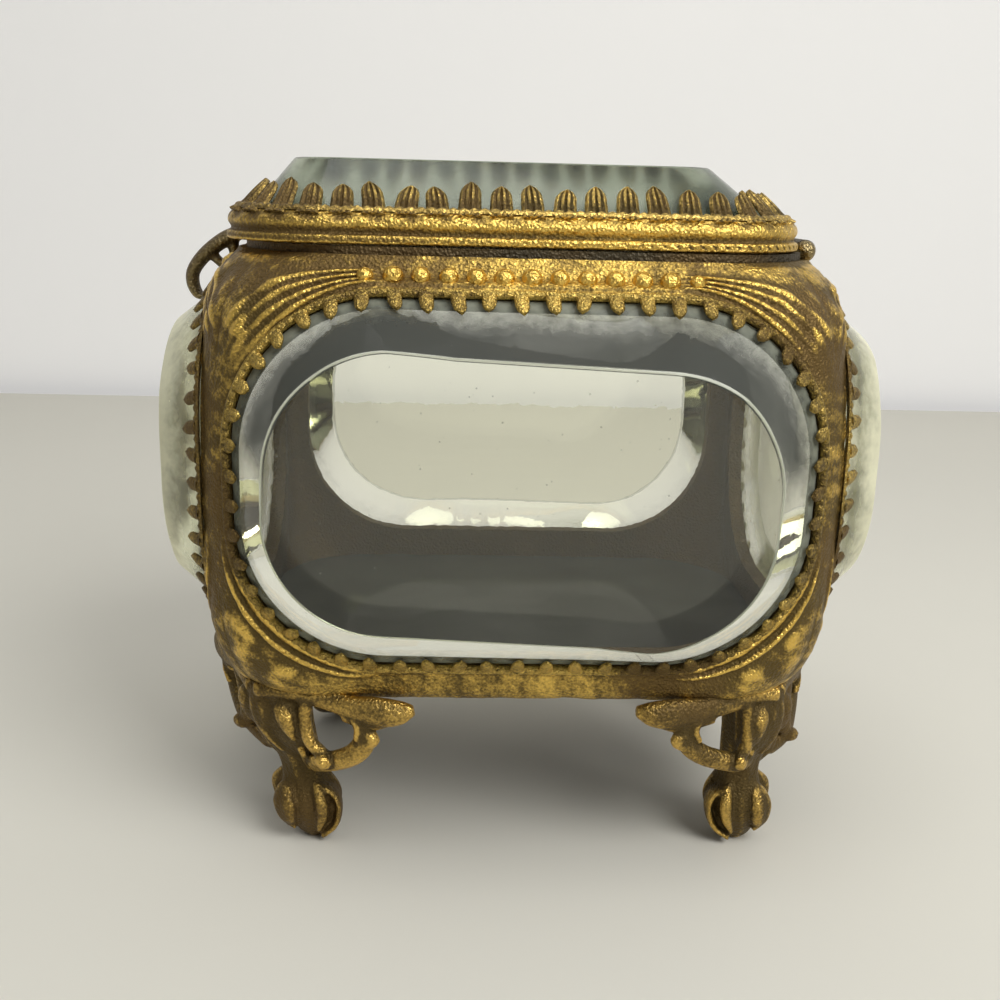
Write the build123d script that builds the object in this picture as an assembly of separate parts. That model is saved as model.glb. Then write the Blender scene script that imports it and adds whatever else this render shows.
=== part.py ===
from build123d import *
import os
from dataclasses import dataclass
from math import atan2, cos, degrees, hypot, pi, radians, sin, sqrt

# Small glass casket: four brass side castings with bevelled panes, a glass floor, cast feet and a
# hinged lid with a thick bevelled pane. Millimetres. X runs along the long sides, Y from front to
# rear, Z up. The origin is on the table under the middle of the body.

os.makedirs("parts", exist_ok=True)

# ---- Body castings ----
body_length = 70.0
body_depth = 51.5
body_bottom = 22.5
body_top = 70.0
side_wall = 3.2
waist_corner_radius = 5.0
top_corner_radius = 16.0
bottom_corner_radius = 13.0
top_corner_flare = 2.0
bottom_corner_flare = 2.8
top_curve_height = 6.0
top_curve_depth = 2.4
top_curve_power = 1.5
bottom_curve_height = 6.0
bottom_curve_depth = 2.2
waist_steps = 6
curve_steps = 4

# ---- Windows and panes ----
window_post = 3.9
bottom_rail = 3.5
top_rail = 4.0
window_radius = 16.2
rebate_depth = 1.4
flange_width = 2.1
pane_gap = 0.15
pane_edge = 0.8
pane_rise = 5.7
pane_bevel = 4.8

# ---- Claws round the windows ----
claw_strip_width = 1.0
claw_strip_height = 0.5
claw_pitch = 3.2
claw_width = 1.7
claw_length = 2.6
claw_root_height = 0.95
claw_tip = 0.45
claw_gap = 0.12
claw_foothold = 0.6

# ---- Pearls on the top rails ----
pearl_radius = 1.05
pearl_pitch = 2.84
pearl_drop = 2.0
pearl_sink = 0.1
long_side_pearls = 13
short_side_pearls = 7

# ---- Collar inside the top of the body ----
collar_thickness = 1.5
collar_gap = 0.05
collar_reach = 3.2
collar_stand = 0.8

# ---- Floor ----
base_thickness = 1.2
base_inset = 0.4
base_rail = 6.5
floor_thickness = 1.7
floor_gap = 0.25

# ---- Lid ----
lid_gap = 0.2
lid_left_inset = 1.6
lid_right_inset = 4.4
lid_front_inset = 3.25
lid_corner_radius = 12.0
lip_height = 0.9
cove_height = 0.6
cove_step = 0.5
band_height = 3.3
band_lean = 0.4
band_wall = 1.0
lid_seat_height = 1.4
lid_seat_width = 2.1
lid_pane_edge = 1.0
lid_pane_rise = 6.3
lid_pane_bevel = 5.3
lid_claw_pitch = 3.3
lid_claw_width = 2.0
lid_claw_length = 3.6

# ---- Hinge ----
knuckle_radius = 1.25
pin_radius = 0.6
pin_clearance = 0.03
barrel_clearance = 0.25
barrel_half_length = 10.0
middle_knuckle_half = 3.7
knuckle_gap = 0.2
pin_head_radius = 1.2
pin_end_play = 0.05
hinge_notch_gap = 0.3
barrel_height = -0.1
leaf_thickness = 0.65
body_leaf_height = 4.9
lid_leaf_thickness = 0.8
lid_leaf_depth = 1.9
lid_leaf_half_width = 6.8
leaf_gap = 0.05

# ---- Thumb-piece ----
thumb_reach = 7.5
thumb_drop = 9.0
thumb_bar = 1.25
thumb_bow_reach = 5.1
thumb_bow_drop = 2.6
thumb_curl_in = 1.5
thumb_curl_height = 3.0
thumb_tip = 0.7
thumb_rim_width = 3.2
thumb_rib = 0.8
thumb_rib_width = 2.0
thumb_root_reach = 1.2
thumb_rib_reach = 3.4
thumb_rib_drop = 4.7
thumb_rib_rise = 1.9

# ---- Feet ----
toe_lean = 1.8
wing_inset = 1.35
wing_thickness = 1.15
wing_length = 21.2
wing_top_gap = 0.1
wing_tip_chamfer = 0.7
wing_tip_height = 2.4
wing_hole_place = 12.3
wing_hole_drop = 4.5
wing_hole_width = 2.8
wing_hole_tall = 4.4
wing_hole_margin = 3.3
wing_under_hole = 0.9
leg_flattening = 0.6
knee_place = 4.2
knee_width = 8.8
knee_drop = 5.5
calf_place = 6.0
calf_width = 7.7
calf_rise = 2.5
ankle_place = 7.3
ankle_width = 6.6
ankle_height = 11.5
heel_drop = 3.5
toe_place = 8.6
toe_width = 7.2
toe_height = 4.0
toe_round = 1.2
sole_width = 4.2
boss_place = 8.0
boss_radius = 2.6
boss_depth = 3.8
screw_radius = 0.7
screw_clearance = 0.05
screw_head_radius = 1.5
screw_length = 4.6

# ---- Worked out from the sizes above ----
half_length = body_length / 2
half_depth = body_depth / 2
waist_height = (body_bottom + body_top) / 2
window_bottom = body_bottom + bottom_rail
window_top = body_top - top_rail
pearl_height = body_top - pearl_drop
collar_bottom = body_top - collar_reach
window_middle = (window_bottom + window_top) / 2
window_half_height = (window_top - window_bottom) / 2
cavity_half_length = half_length - side_wall
cavity_half_depth = half_depth - side_wall
lip_bottom = body_top + collar_stand + lid_gap
lid_left = lid_left_inset - half_length
lid_right = half_length - lid_right_inset
lid_middle = (lid_left + lid_right) / 2
lid_half_length = (lid_right - lid_left) / 2
lid_half_depth = half_depth - lid_front_inset
hinge_x = lid_right + barrel_clearance + knuckle_radius
hinge_z = lip_bottom + barrel_height
hinge_notch_half = barrel_half_length + pin_head_radius + hinge_notch_gap
hinge_notch_floor = hinge_z - knuckle_radius - hinge_notch_gap
base_bottom = body_bottom - base_thickness
wing_hole_height = body_bottom - wing_hole_drop


@dataclass
class Outline:
    """A rounded rectangle: half sizes and corner radius."""

    half_x: float
    half_y: float
    radius: float

    def inset(self, distance):
        """The same outline, drawn in by a distance all round."""
        radius = max(self.radius - distance, 0.3)
        return Outline(self.half_x - distance, self.half_y - distance, radius)

    def face(self):
        """The outline as a flat face."""
        return RectangleRounded(2 * self.half_x, 2 * self.half_y, self.radius)

    def length(self):
        """Length once round the outline."""
        straight = 4 * (self.half_x - self.radius) + 4 * (self.half_y - self.radius)
        return straight + 2 * pi * self.radius

    def station(self, run):
        """Point, inward direction and travel direction after a run along the outline."""
        flat_x = 2 * (self.half_x - self.radius)
        flat_y = 2 * (self.half_y - self.radius)
        arc = pi * self.radius / 2
        legs = [(flat_x, 0), (flat_y, 90), (flat_x, 180), (flat_y, 270)]
        starts = [
            (-flat_x / 2, -self.half_y),
            (self.half_x, -flat_y / 2),
            (flat_x / 2, self.half_y),
            (-self.half_x, flat_y / 2),
        ]
        for (flat, heading), (x, y) in zip(legs, starts):
            ahead = (cos(radians(heading)), sin(radians(heading)))
            inward = (-ahead[1], ahead[0])
            if run <= flat:
                return (x + ahead[0] * run, y + ahead[1] * run), inward, ahead
            run -= flat
            if run <= arc:
                centre = (
                    x + ahead[0] * flat + inward[0] * self.radius,
                    y + ahead[1] * flat + inward[1] * self.radius,
                )
                turned = radians(heading) + run / self.radius
                ahead = (cos(turned), sin(turned))
                inward = (-ahead[1], ahead[0])
                point = (centre[0] - inward[0] * self.radius, centre[1] - inward[1] * self.radius)
                return point, inward, ahead
            run -= arc
        return self.station(run)


@dataclass
class Side:
    """One side of the body: its name, its outward plane at the window's centre, its half span."""

    name: str
    plane: Plane
    half_span: float
    pearls: int

    def window(self):
        """Outline of the window's visible edge."""
        return Outline(self.half_span - window_post, window_half_height, window_radius)


def side_plane(outward, along, distance):
    """Plane on a side's face, its origin at the middle of the window."""
    origin = (outward[0] * distance, outward[1] * distance, window_middle)
    return Plane(origin=origin, x_dir=along, z_dir=outward)


sides = [
    Side("front", side_plane((0, -1, 0), (1, 0, 0), half_depth), half_length, long_side_pearls),
    Side("rear", side_plane((0, 1, 0), (-1, 0, 0), half_depth), half_length, long_side_pearls),
    Side("left", side_plane((-1, 0, 0), (0, -1, 0), half_length), half_depth, short_side_pearls),
    Side("right", side_plane((1, 0, 0), (0, 1, 0), half_length), half_depth, short_side_pearls),
]


def section_heights():
    """Heights of the body's plan sections, from the lower edge to the upper one."""
    low = body_bottom + bottom_curve_height
    high = body_top - top_curve_height
    turns = [sin(pi / 2 * k / curve_steps) for k in range(1, curve_steps + 1)]
    lower = [low - bottom_curve_height * turn for turn in reversed(turns)]
    waist = [low + (high - low) * k / waist_steps for k in range(waist_steps + 1)]
    upper = [high + top_curve_height * k / curve_steps for k in range(1, curve_steps + 1)]
    return lower + waist + upper


def corner_radius(z):
    """Plan corner radius at a height: smallest at the waist, growing towards both edges."""
    above = z > waist_height
    end_radius = top_corner_radius if above else bottom_corner_radius
    flare = top_corner_flare if above else bottom_corner_flare
    rise = abs(z - waist_height) / (body_top - waist_height)
    return waist_corner_radius + (end_radius - waist_corner_radius) * rise**flare


def batter(z):
    """How far the casting curves in: a sloping shoulder above, a quarter ellipse below."""
    rise = (z - body_top + top_curve_height) / top_curve_height
    drop = (body_bottom + bottom_curve_height - z) / bottom_curve_height
    if rise > 0:
        return top_curve_depth * rise**top_curve_power
    if drop > 0:
        return bottom_curve_depth * (1 - sqrt(max(1 - drop**2, 0)))
    return 0.0


def body_outline(z):
    """Outer plan of the castings at a height."""
    lean = batter(z)
    return Outline(half_length - lean, half_depth - lean, corner_radius(z))


def cavity_outline(z):
    """Inner plan of the castings at a height, its corners round the same centres."""
    radius = corner_radius(z) - side_wall + batter(z)
    return Outline(cavity_half_length, cavity_half_depth, radius)


def stacked(outlines_at):
    """Solid through a list of outlines and their heights."""
    return loft([Pos(0, 0, z) * outline.face() for outline, z in outlines_at], ruled=True)


def slab(outline, low, high):
    """Plate of an outline between two heights."""
    return extrude(Pos(0, 0, low) * outline.face(), high - low)


def block(x_range, y_range, z_range):
    """Box between two corners."""
    size = [b - a for a, b in (x_range, y_range, z_range)]
    middle = [(a + b) / 2 for a, b in (x_range, y_range, z_range)]
    return Pos(*middle) * Box(*size)


def body_shell():
    """The four castings in one, before the windows and the mitres are cut."""
    heights = section_heights()
    outer = stacked([(body_outline(z), z) for z in heights])
    inner = stacked([(cavity_outline(z), z) for z in heights])
    return outer - inner


def mitre_wedge(side):
    """Prism that holds one side of the body, cut at 45 degrees through its corners."""
    margin = 2 * pearl_radius
    apex = half_length - half_depth
    reach_x = half_length + margin
    reach_y = half_depth + margin
    if side.name in ("front", "rear"):
        sign = -1 if side.name == "front" else 1
        corners = [(-reach_x, sign * reach_y), (reach_x, sign * reach_y), (apex, 0), (-apex, 0)]
    else:
        sign = -1 if side.name == "left" else 1
        corners = [(sign * reach_x, -reach_y), (sign * reach_x, reach_y), (sign * apex, 0)]
    prism = make_face(Polyline(*corners, close=True))
    return extrude(Pos(0, 0, body_bottom - margin) * prism, body_top - body_bottom + 2 * margin)


def pearl_row(side):
    """Pearls on the top rail of a side."""
    lean = batter(pearl_height)
    first = -pearl_pitch * (side.pearls - 1) / 2
    up = pearl_height - window_middle
    out = -lean - pearl_sink
    return [
        side.plane * Pos(first + k * pearl_pitch, up, out) * Sphere(pearl_radius)
        for k in range(side.pearls)
    ]


def side_frame(side, shell):
    """Casting of one side: window with its rebate and flange, pearls on the top rail."""
    window = side.window()
    cut_depth = side_wall + waist_corner_radius
    rebate = extrude(Pos(0, 0, -rebate_depth) * window.face(), rebate_depth + pane_rise)
    through = extrude(Pos(0, 0, -cut_depth) * window.inset(flange_width).face(), 2 * cut_depth)
    casting = (shell & mitre_wedge(side)) - side.plane * rebate - side.plane * through
    if side.name == "right":
        notch_depth = side_wall + knuckle_radius
        casting -= block(
            (half_length - notch_depth - side_wall, half_length + notch_depth),
            (-hinge_notch_half, hinge_notch_half),
            (hinge_notch_floor, body_top + knuckle_radius),
        )
    return casting + pearl_row(side)


def bevelled_pane(outline, edge, rise, bevel):
    """Pane with its back at height 0: a short straight edge, then a bevel up to the flat."""
    base = extrude(outline.face(), edge)
    top = loft(
        [Pos(0, 0, edge) * outline.face(), Pos(0, 0, edge + rise) * outline.inset(bevel).face()],
        ruled=True,
    )
    return base + top


def window_pane(side):
    """Pane of a side, with its back on the flange of the rebate."""
    edge = pane_edge
    rise = rebate_depth + pane_rise - edge
    pane = bevelled_pane(side.window().inset(pane_gap), edge, rise, pane_bevel)
    return side.plane * Pos(0, 0, -rebate_depth) * pane


def claw_profile(glass_start, glass_run, glass_rise, length):
    """Section of a claw: inward along its first axis, off the glass by the claw gap.

    glass_start is the glass's inset at the strip's underside; the bevel goes on by glass_run
    inward for each glass_rise outward.
    """
    slope = hypot(glass_run, glass_rise)
    along = (glass_run / slope, glass_rise / slope)
    off = (-along[1], along[0])
    start = glass_start - claw_gap / along[1]
    tip_in = (start + along[0] * length, along[1] * length)
    tip_out = (tip_in[0] + off[0] * claw_tip, tip_in[1] + off[1] * claw_tip)
    corners = [
        (-claw_foothold, 0),
        (start, 0),
        tip_in,
        tip_out,
        (-claw_foothold, claw_root_height),
    ]
    return make_face(Polyline(*corners, close=True))


def claw_ring(outline, profile, pitch, width):
    """Flat ring round an outline with claws bent inward over the glass."""
    ring = extrude(outline.inset(-claw_strip_width).face() - outline.face(), claw_strip_height)
    count = round(outline.length() / pitch)
    claws = []
    for k in range(count):
        point, inward, ahead = outline.station((k + 0.5) * outline.length() / count)
        place = Plane(origin=(*point, 0), x_dir=(*inward, 0), z_dir=(*ahead, 0))
        claws.append(extrude(place * profile, width / 2, both=True))
    return ring + claws


def window_claws(side):
    """Claw strip round one window, on the face of the casting."""
    bevel_rise = rebate_depth + pane_rise - pane_edge
    glass_start = pane_gap + (rebate_depth - pane_edge) * pane_bevel / bevel_rise
    profile = claw_profile(glass_start, pane_bevel, bevel_rise, claw_length)
    return side.plane * claw_ring(side.window(), profile, claw_pitch, claw_width)


def rim_collar():
    """Collar inside the top of the castings, open where the hinge leaf is."""
    outer = cavity_outline(body_top).inset(collar_gap)
    top = body_top + collar_stand
    ring = slab(outer, collar_bottom, top) - slab(outer.inset(collar_thickness), collar_bottom, top)
    return ring - block(
        (cavity_half_length - 2 * collar_thickness, half_length),
        (-hinge_notch_half, hinge_notch_half),
        (collar_bottom, top),
    )


def boss_point():
    """Distance of a foot's boss from the body's middle, along X and Y."""
    return half_length - boss_place, half_depth - boss_place


def foot_corners():
    """Name and signs of the four feet."""
    return [
        ("foot_front_left", -1, -1),
        ("foot_front_right", 1, -1),
        ("foot_rear_left", -1, 1),
        ("foot_rear_right", 1, 1),
    ]


def boss_places():
    """Centres of the four bosses in plan."""
    x, y = boss_point()
    return [(sign_x * x, sign_y * y) for _, sign_x, sign_y in foot_corners()]


def base_frame():
    """Ring under the castings with countersunk holes for the foot screws."""
    outline = body_outline(body_bottom).inset(base_inset)
    ring = slab(outline, base_bottom, body_bottom)
    ring -= slab(outline.inset(base_rail), base_bottom, body_bottom)
    hole_radius = screw_radius + screw_clearance
    sink = screw_head_radius - screw_radius
    for x, y in boss_places():
        ring -= Pos(x, y, base_bottom + base_thickness / 2) * Cylinder(hole_radius, base_thickness)
        ring -= Pos(x, y, body_bottom - sink / 2) * Cone(
            hole_radius, screw_head_radius + screw_clearance, sink
        )
    return ring


def foot_screws():
    """Four countersunk screws, heads flush with the base frame."""
    sink = screw_head_radius - screw_radius
    screws = []
    for x, y in boss_places():
        head = Pos(x, y, body_bottom - sink / 2) * Cone(screw_radius, screw_head_radius, sink)
        middle = body_bottom - sink - (screw_length - sink) / 2
        screws.append(head + Pos(x, y, middle) * Cylinder(screw_radius, screw_length - sink))
    return Compound(children=screws)


def base_glass():
    """Floor pane, loose in the castings on top of the base frame."""
    outline = cavity_outline(body_bottom).inset(floor_gap)
    return slab(outline, body_bottom, body_bottom + floor_thickness)


def wing_face():
    """Elevation of a wing: distance from the body's corner along X, height along Y."""
    top = body_bottom - wing_top_gap
    tip = wing_inset + wing_length
    side = wing_hole_place + wing_hole_width / 2 + wing_hole_margin
    hole_low = wing_hole_height - wing_hole_tall / 2
    shoulder = (side, top - wing_tip_height)
    under_hole = (wing_hole_place + wing_hole_width, hole_low - wing_under_hole)
    calf = (calf_place + calf_width / 2, ankle_height + calf_rise)
    edge = [
        Line((wing_inset, top), (tip - wing_tip_chamfer, top)),
        Line((tip - wing_tip_chamfer, top), (tip, top - wing_tip_chamfer)),
        ThreePointArc(
            (tip, top - wing_tip_chamfer),
            ((tip + side) / 2, top - wing_tip_height + wing_tip_chamfer / 2),
            shoulder,
        ),
        ThreePointArc(
            shoulder,
            (side - wing_tip_chamfer / 2, wing_hole_height - wing_hole_tall / 4),
            under_hole,
        ),
        Line(under_hole, calf),
        Line(calf, (calf_place, ankle_height + leg_flattening)),
        Line((calf_place, ankle_height + leg_flattening), (wing_inset, wing_hole_height)),
        Line((wing_inset, wing_hole_height), (wing_inset, top)),
    ]
    hole = Pos(wing_hole_place, wing_hole_height) * Ellipse(wing_hole_width / 2, wing_hole_tall / 2)
    return make_face(edge) - hole


def leg(lean):
    """Knee, calf, ankle and toe of a foot down the corner's diagonal, the toe leaning along X."""
    sections = [
        (base_bottom, knee_place, knee_width),
        (body_bottom - knee_drop, knee_place, knee_width),
        (ankle_height + calf_rise, calf_place, calf_width),
        (ankle_height, ankle_place, ankle_width),
        (ankle_height - heel_drop, (ankle_place + toe_place) / 2, ankle_width),
        (toe_height, toe_place, toe_width),
        (toe_round, toe_place, toe_width - toe_round),
        (0.0, toe_place, sole_width),
    ]
    rings = []
    for z, place, width in sections:
        ellipse = Rot(0, 0, -45) * Ellipse(width / 2, width / 2 - leg_flattening)
        rings.append(Pos(place + lean * (1 - z / base_bottom), place, z) * ellipse)
    return loft(rings, ruled=True)


def foot(lean):
    """One foot in its corner's frame: X and Y run inward from the corner of the body."""
    wing = extrude(wing_face(), wing_thickness)
    along_x = Plane(origin=(0, wing_inset + wing_thickness, 0), x_dir=(1, 0, 0), z_dir=(0, -1, 0))
    along_y = Plane(origin=(wing_inset, 0, 0), x_dir=(0, 1, 0), z_dir=(1, 0, 0))
    boss = Pos(boss_place, boss_place, base_bottom - boss_depth / 2) * Cylinder(boss_radius, boss_depth)
    casting = leg(lean) + boss + along_x * wing + along_y * wing
    hole_depth = screw_length
    hole = Pos(boss_place, boss_place, body_bottom - hole_depth / 2) * Cylinder(
        screw_radius + screw_clearance, hole_depth + screw_clearance
    )
    return casting - hole


def placed_foot(sign_x, sign_y):
    """A foot mirrored into its corner of the body; all four toes lean towards the hinge."""
    solid = foot(-sign_x * toe_lean)
    if sign_x > 0:
        solid = mirror(solid, about=Plane.YZ)
    if sign_y > 0:
        solid = mirror(solid, about=Plane.XZ)
    return Pos(sign_x * half_length, sign_y * half_depth, 0) * solid


def lid_outline():
    """Plan of the lid's lip, about the lid's middle."""
    return Outline(lid_half_length, lid_half_depth, lid_corner_radius)


def lid_glass_inset():
    """Inset of the lid pane's edge from the lip."""
    return cove_step + band_lean + band_wall + pane_gap


def lid_frame():
    """Band of the lid: lip, cove, leaning wall, and the seat of the pane inside it."""
    lip = lid_outline()
    levels = [
        (lip, lip_bottom),
        (lip, lip_bottom + lip_height),
        (lip.inset(cove_step), lip_bottom + lip_height + cove_height),
        (lip.inset(cove_step + band_lean), lip_bottom + band_height),
    ]
    seat = lip.inset(lid_glass_inset() - pane_gap)
    band = stacked(levels)
    band -= slab(seat, lip_bottom + lid_seat_height, lip_bottom + band_height)
    band -= slab(seat.inset(lid_seat_width), lip_bottom, lip_bottom + lid_seat_height)
    band = Pos(lid_middle, 0, 0) * band
    return band - block(
        (lid_right - lid_leaf_depth - leaf_gap, lid_right + knuckle_radius),
        (-lid_leaf_half_width - leaf_gap, lid_leaf_half_width + leaf_gap),
        (lip_bottom, lip_bottom + lid_leaf_thickness + 2 * leaf_gap),
    )


def lid_glass():
    """Thick bevelled pane of the lid."""
    outline = lid_outline().inset(lid_glass_inset())
    pane = bevelled_pane(outline, lid_pane_edge, lid_pane_rise, lid_pane_bevel)
    return Pos(lid_middle, 0, lip_bottom + lid_seat_height) * pane


def lid_claws():
    """Ring of claws on top of the lid's band."""
    inner = lid_outline().inset(lid_glass_inset() - pane_gap)
    strip_above_edge = band_height - lid_seat_height - lid_pane_edge
    glass_start = pane_gap + strip_above_edge * lid_pane_bevel / lid_pane_rise
    profile = claw_profile(glass_start, lid_pane_bevel, lid_pane_rise, lid_claw_length)
    ring = claw_ring(inner, profile, lid_claw_pitch, lid_claw_width)
    return Pos(lid_middle, 0, lip_bottom + band_height) * ring


def rod(radius, y_low, y_high):
    """Cylinder on the hinge axis between two places along Y."""
    middle = (y_low + y_high) / 2
    return Pos(hinge_x, middle, hinge_z) * Rot(90, 0, 0) * Cylinder(radius, y_high - y_low)


def body_hinge_leaf():
    """Leaf inside the right casting, with a knuckle at each end."""
    face_x = cavity_half_length - leaf_gap
    end = barrel_half_length
    inner = middle_knuckle_half + knuckle_gap
    plate_x = (face_x - leaf_thickness, face_x)
    leaf = block(plate_x, (-end, end), (hinge_notch_floor - body_leaf_height, hinge_notch_floor))
    for low, high in ((-end, -inner), (inner, end)):
        leaf += block(plate_x, (low, high), (hinge_notch_floor, hinge_z))
        leaf += rod(knuckle_radius, low, high)
    return leaf - rod(pin_radius + pin_clearance, -end, end)


def lid_hinge_leaf():
    """Leaf let into the lid's lip, with the middle knuckle."""
    low = lip_bottom + leaf_gap
    high = low + lid_leaf_thickness
    plate = block(
        (lid_right - lid_leaf_depth, lid_right), (-lid_leaf_half_width, lid_leaf_half_width), (low, high)
    )
    bridge = block(
        (lid_right - lid_leaf_depth, hinge_x - pin_radius - knuckle_gap),
        (-middle_knuckle_half, middle_knuckle_half),
        (low, high),
    )
    leaf = plate + bridge + rod(knuckle_radius, -middle_knuckle_half, middle_knuckle_half)
    return leaf - rod(pin_radius + pin_clearance, -middle_knuckle_half, middle_knuckle_half)


def hinge_pin():
    """Pin with a domed head at each end."""
    head_at = barrel_half_length + pin_end_play
    pin = rod(pin_radius, -head_at, head_at)
    for sign in (-1, 1):
        ball = Pos(hinge_x, sign * head_at, hinge_z) * Sphere(pin_head_radius)
        outside = sorted((sign * head_at, sign * (head_at + 2 * pin_head_radius)))
        reach = 2 * pin_head_radius
        pin += ball & block(
            (hinge_x - reach, hinge_x + reach), tuple(outside), (hinge_z - reach, hinge_z + reach)
        )
    return pin


def thumb_rim():
    """Side view of the thumb-piece's rim: a bar that bows out from the lip and curls in at its tip."""
    top = lip_bottom + lip_height
    root_low = lip_bottom + leaf_gap
    out_x = lid_left - thumb_reach
    low = top - thumb_drop
    belly = low + thumb_curl_height
    skew = thumb_bar * sqrt(0.5)
    bow = (lid_left - thumb_bow_reach, top - thumb_bow_drop)
    curl = (
        out_x + thumb_curl_in * (1 - sqrt(0.5)),
        belly - thumb_curl_height * sqrt(0.5),
    )
    tip = (out_x + thumb_curl_in, low)
    tip_inside = (tip[0] + thumb_tip, low + thumb_tip)
    edge = [
        ThreePointArc((lid_left, top), bow, (out_x, belly)),
        ThreePointArc((out_x, belly), curl, tip),
        Line(tip, tip_inside),
        ThreePointArc(tip_inside, (curl[0] + skew, curl[1] + skew), (out_x + thumb_bar, belly)),
        ThreePointArc((out_x + thumb_bar, belly), (bow[0] + skew, bow[1] - skew), (lid_left, root_low)),
        Line((lid_left, root_low), (lid_left, top)),
    ]
    return make_face(edge)


def rib_between(start, end):
    """Side view of a straight rib between two points, half a rib longer at each end."""
    run = (end[0] - start[0], end[1] - start[1])
    turn = degrees(atan2(run[1], run[0]))
    middle = Pos((start[0] + end[0]) / 2, (start[1] + end[1]) / 2)
    return middle * Rot(0, 0, turn) * Rectangle(hypot(*run) + thumb_rib, thumb_rib)


def thumb_piece():
    """Openwork lift on the lid's left lip: a bowed rim, an inner rib along the body, two struts."""
    top = lip_bottom + lip_height
    root = (lid_left - thumb_root_reach, lip_bottom + thumb_rib / 2)
    foot_end = (lid_left - thumb_rib_reach, top - thumb_rib_drop)
    middle = ((root[0] + foot_end[0]) / 2, (root[1] + foot_end[1]) / 2)
    bow = (lid_left - thumb_bow_reach, top - thumb_bow_drop)
    strut_top = (bow[0] + thumb_rib, foot_end[1] + thumb_rib_rise)
    short_top = ((bow[0] + root[0]) / 2, middle[1] + thumb_rib_rise)
    ribs = [rib_between(root, foot_end), rib_between(foot_end, strut_top), rib_between(middle, short_top)]
    lift = side_slice(thumb_rim(), thumb_rim_width)
    for rib in ribs:
        lift += side_slice(rib, thumb_rib_width)
    return lift


def side_slice(outline, width):
    """Plate with a side view given in X and Z, centred on the casket's middle plane."""
    side_view = Plane(origin=(0, width / 2, 0), x_dir=(1, 0, 0), z_dir=(0, -1, 0))
    return extrude(side_view * outline, width)


def make_nodes():
    """Every node of the casket by name."""
    shell = body_shell()
    nodes = {}
    for side in sides:
        nodes[f"{side.name}_side_frame"] = side_frame(side, shell)
        nodes[f"{side.name}_glass"] = window_pane(side)
        nodes[f"{side.name}_claw_strip"] = window_claws(side)
    nodes["rim_collar"] = rim_collar()
    nodes["base_frame"] = base_frame()
    nodes["base_glass"] = base_glass()
    nodes["foot_screws"] = foot_screws()
    for name, sign_x, sign_y in foot_corners():
        nodes[name] = placed_foot(sign_x, sign_y)
    nodes["body_hinge_leaf"] = body_hinge_leaf()
    nodes["hinge_pin"] = hinge_pin()
    nodes["lid_frame"] = lid_frame()
    nodes["lid_glass"] = lid_glass()
    nodes["lid_claw_strip"] = lid_claws()
    nodes["lid_hinge_leaf"] = lid_hinge_leaf()
    nodes["thumb_piece"] = thumb_piece()
    return nodes


for node, solid in make_nodes().items():
    export_step(solid, f"parts/{node}.step")
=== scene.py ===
"""Looks of the glass casket box: chased gilt-brass castings, claws, bevelled panes, feet, light and camera.

Metres throughout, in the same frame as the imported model: X along the long sides towards the hinge,
Y from the front to the rear, Z up, the origin on the table under the middle of the body.
"""

import logging
import math
from dataclasses import dataclass
from enum import Enum
from typing import Callable, Optional, Sequence, Union

import bpy
import numpy as np
from mathutils import Matrix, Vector
from numpy.typing import NDArray


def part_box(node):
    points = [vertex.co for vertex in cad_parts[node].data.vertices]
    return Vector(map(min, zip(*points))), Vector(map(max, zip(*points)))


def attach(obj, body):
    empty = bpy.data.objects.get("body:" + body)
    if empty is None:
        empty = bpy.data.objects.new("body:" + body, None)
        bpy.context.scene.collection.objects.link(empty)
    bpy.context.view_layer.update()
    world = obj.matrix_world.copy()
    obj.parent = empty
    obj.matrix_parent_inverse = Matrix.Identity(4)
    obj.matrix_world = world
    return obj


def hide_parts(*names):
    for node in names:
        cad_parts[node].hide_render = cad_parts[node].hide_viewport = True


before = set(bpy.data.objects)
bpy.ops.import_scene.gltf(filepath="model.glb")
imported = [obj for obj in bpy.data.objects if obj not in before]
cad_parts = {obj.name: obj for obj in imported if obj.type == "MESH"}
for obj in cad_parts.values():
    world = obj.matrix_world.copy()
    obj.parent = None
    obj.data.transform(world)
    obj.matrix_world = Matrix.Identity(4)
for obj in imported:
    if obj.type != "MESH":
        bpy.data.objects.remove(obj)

MM = 0.001
CASKET = "casket"
LID = "lid"
Array = NDArray[np.float64]
Colour = tuple[float, float, float]
Point = tuple[float, float]
log = logging.getLogger("casket")


# ---------------------------------------------------------------- shapes in the plane


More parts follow.
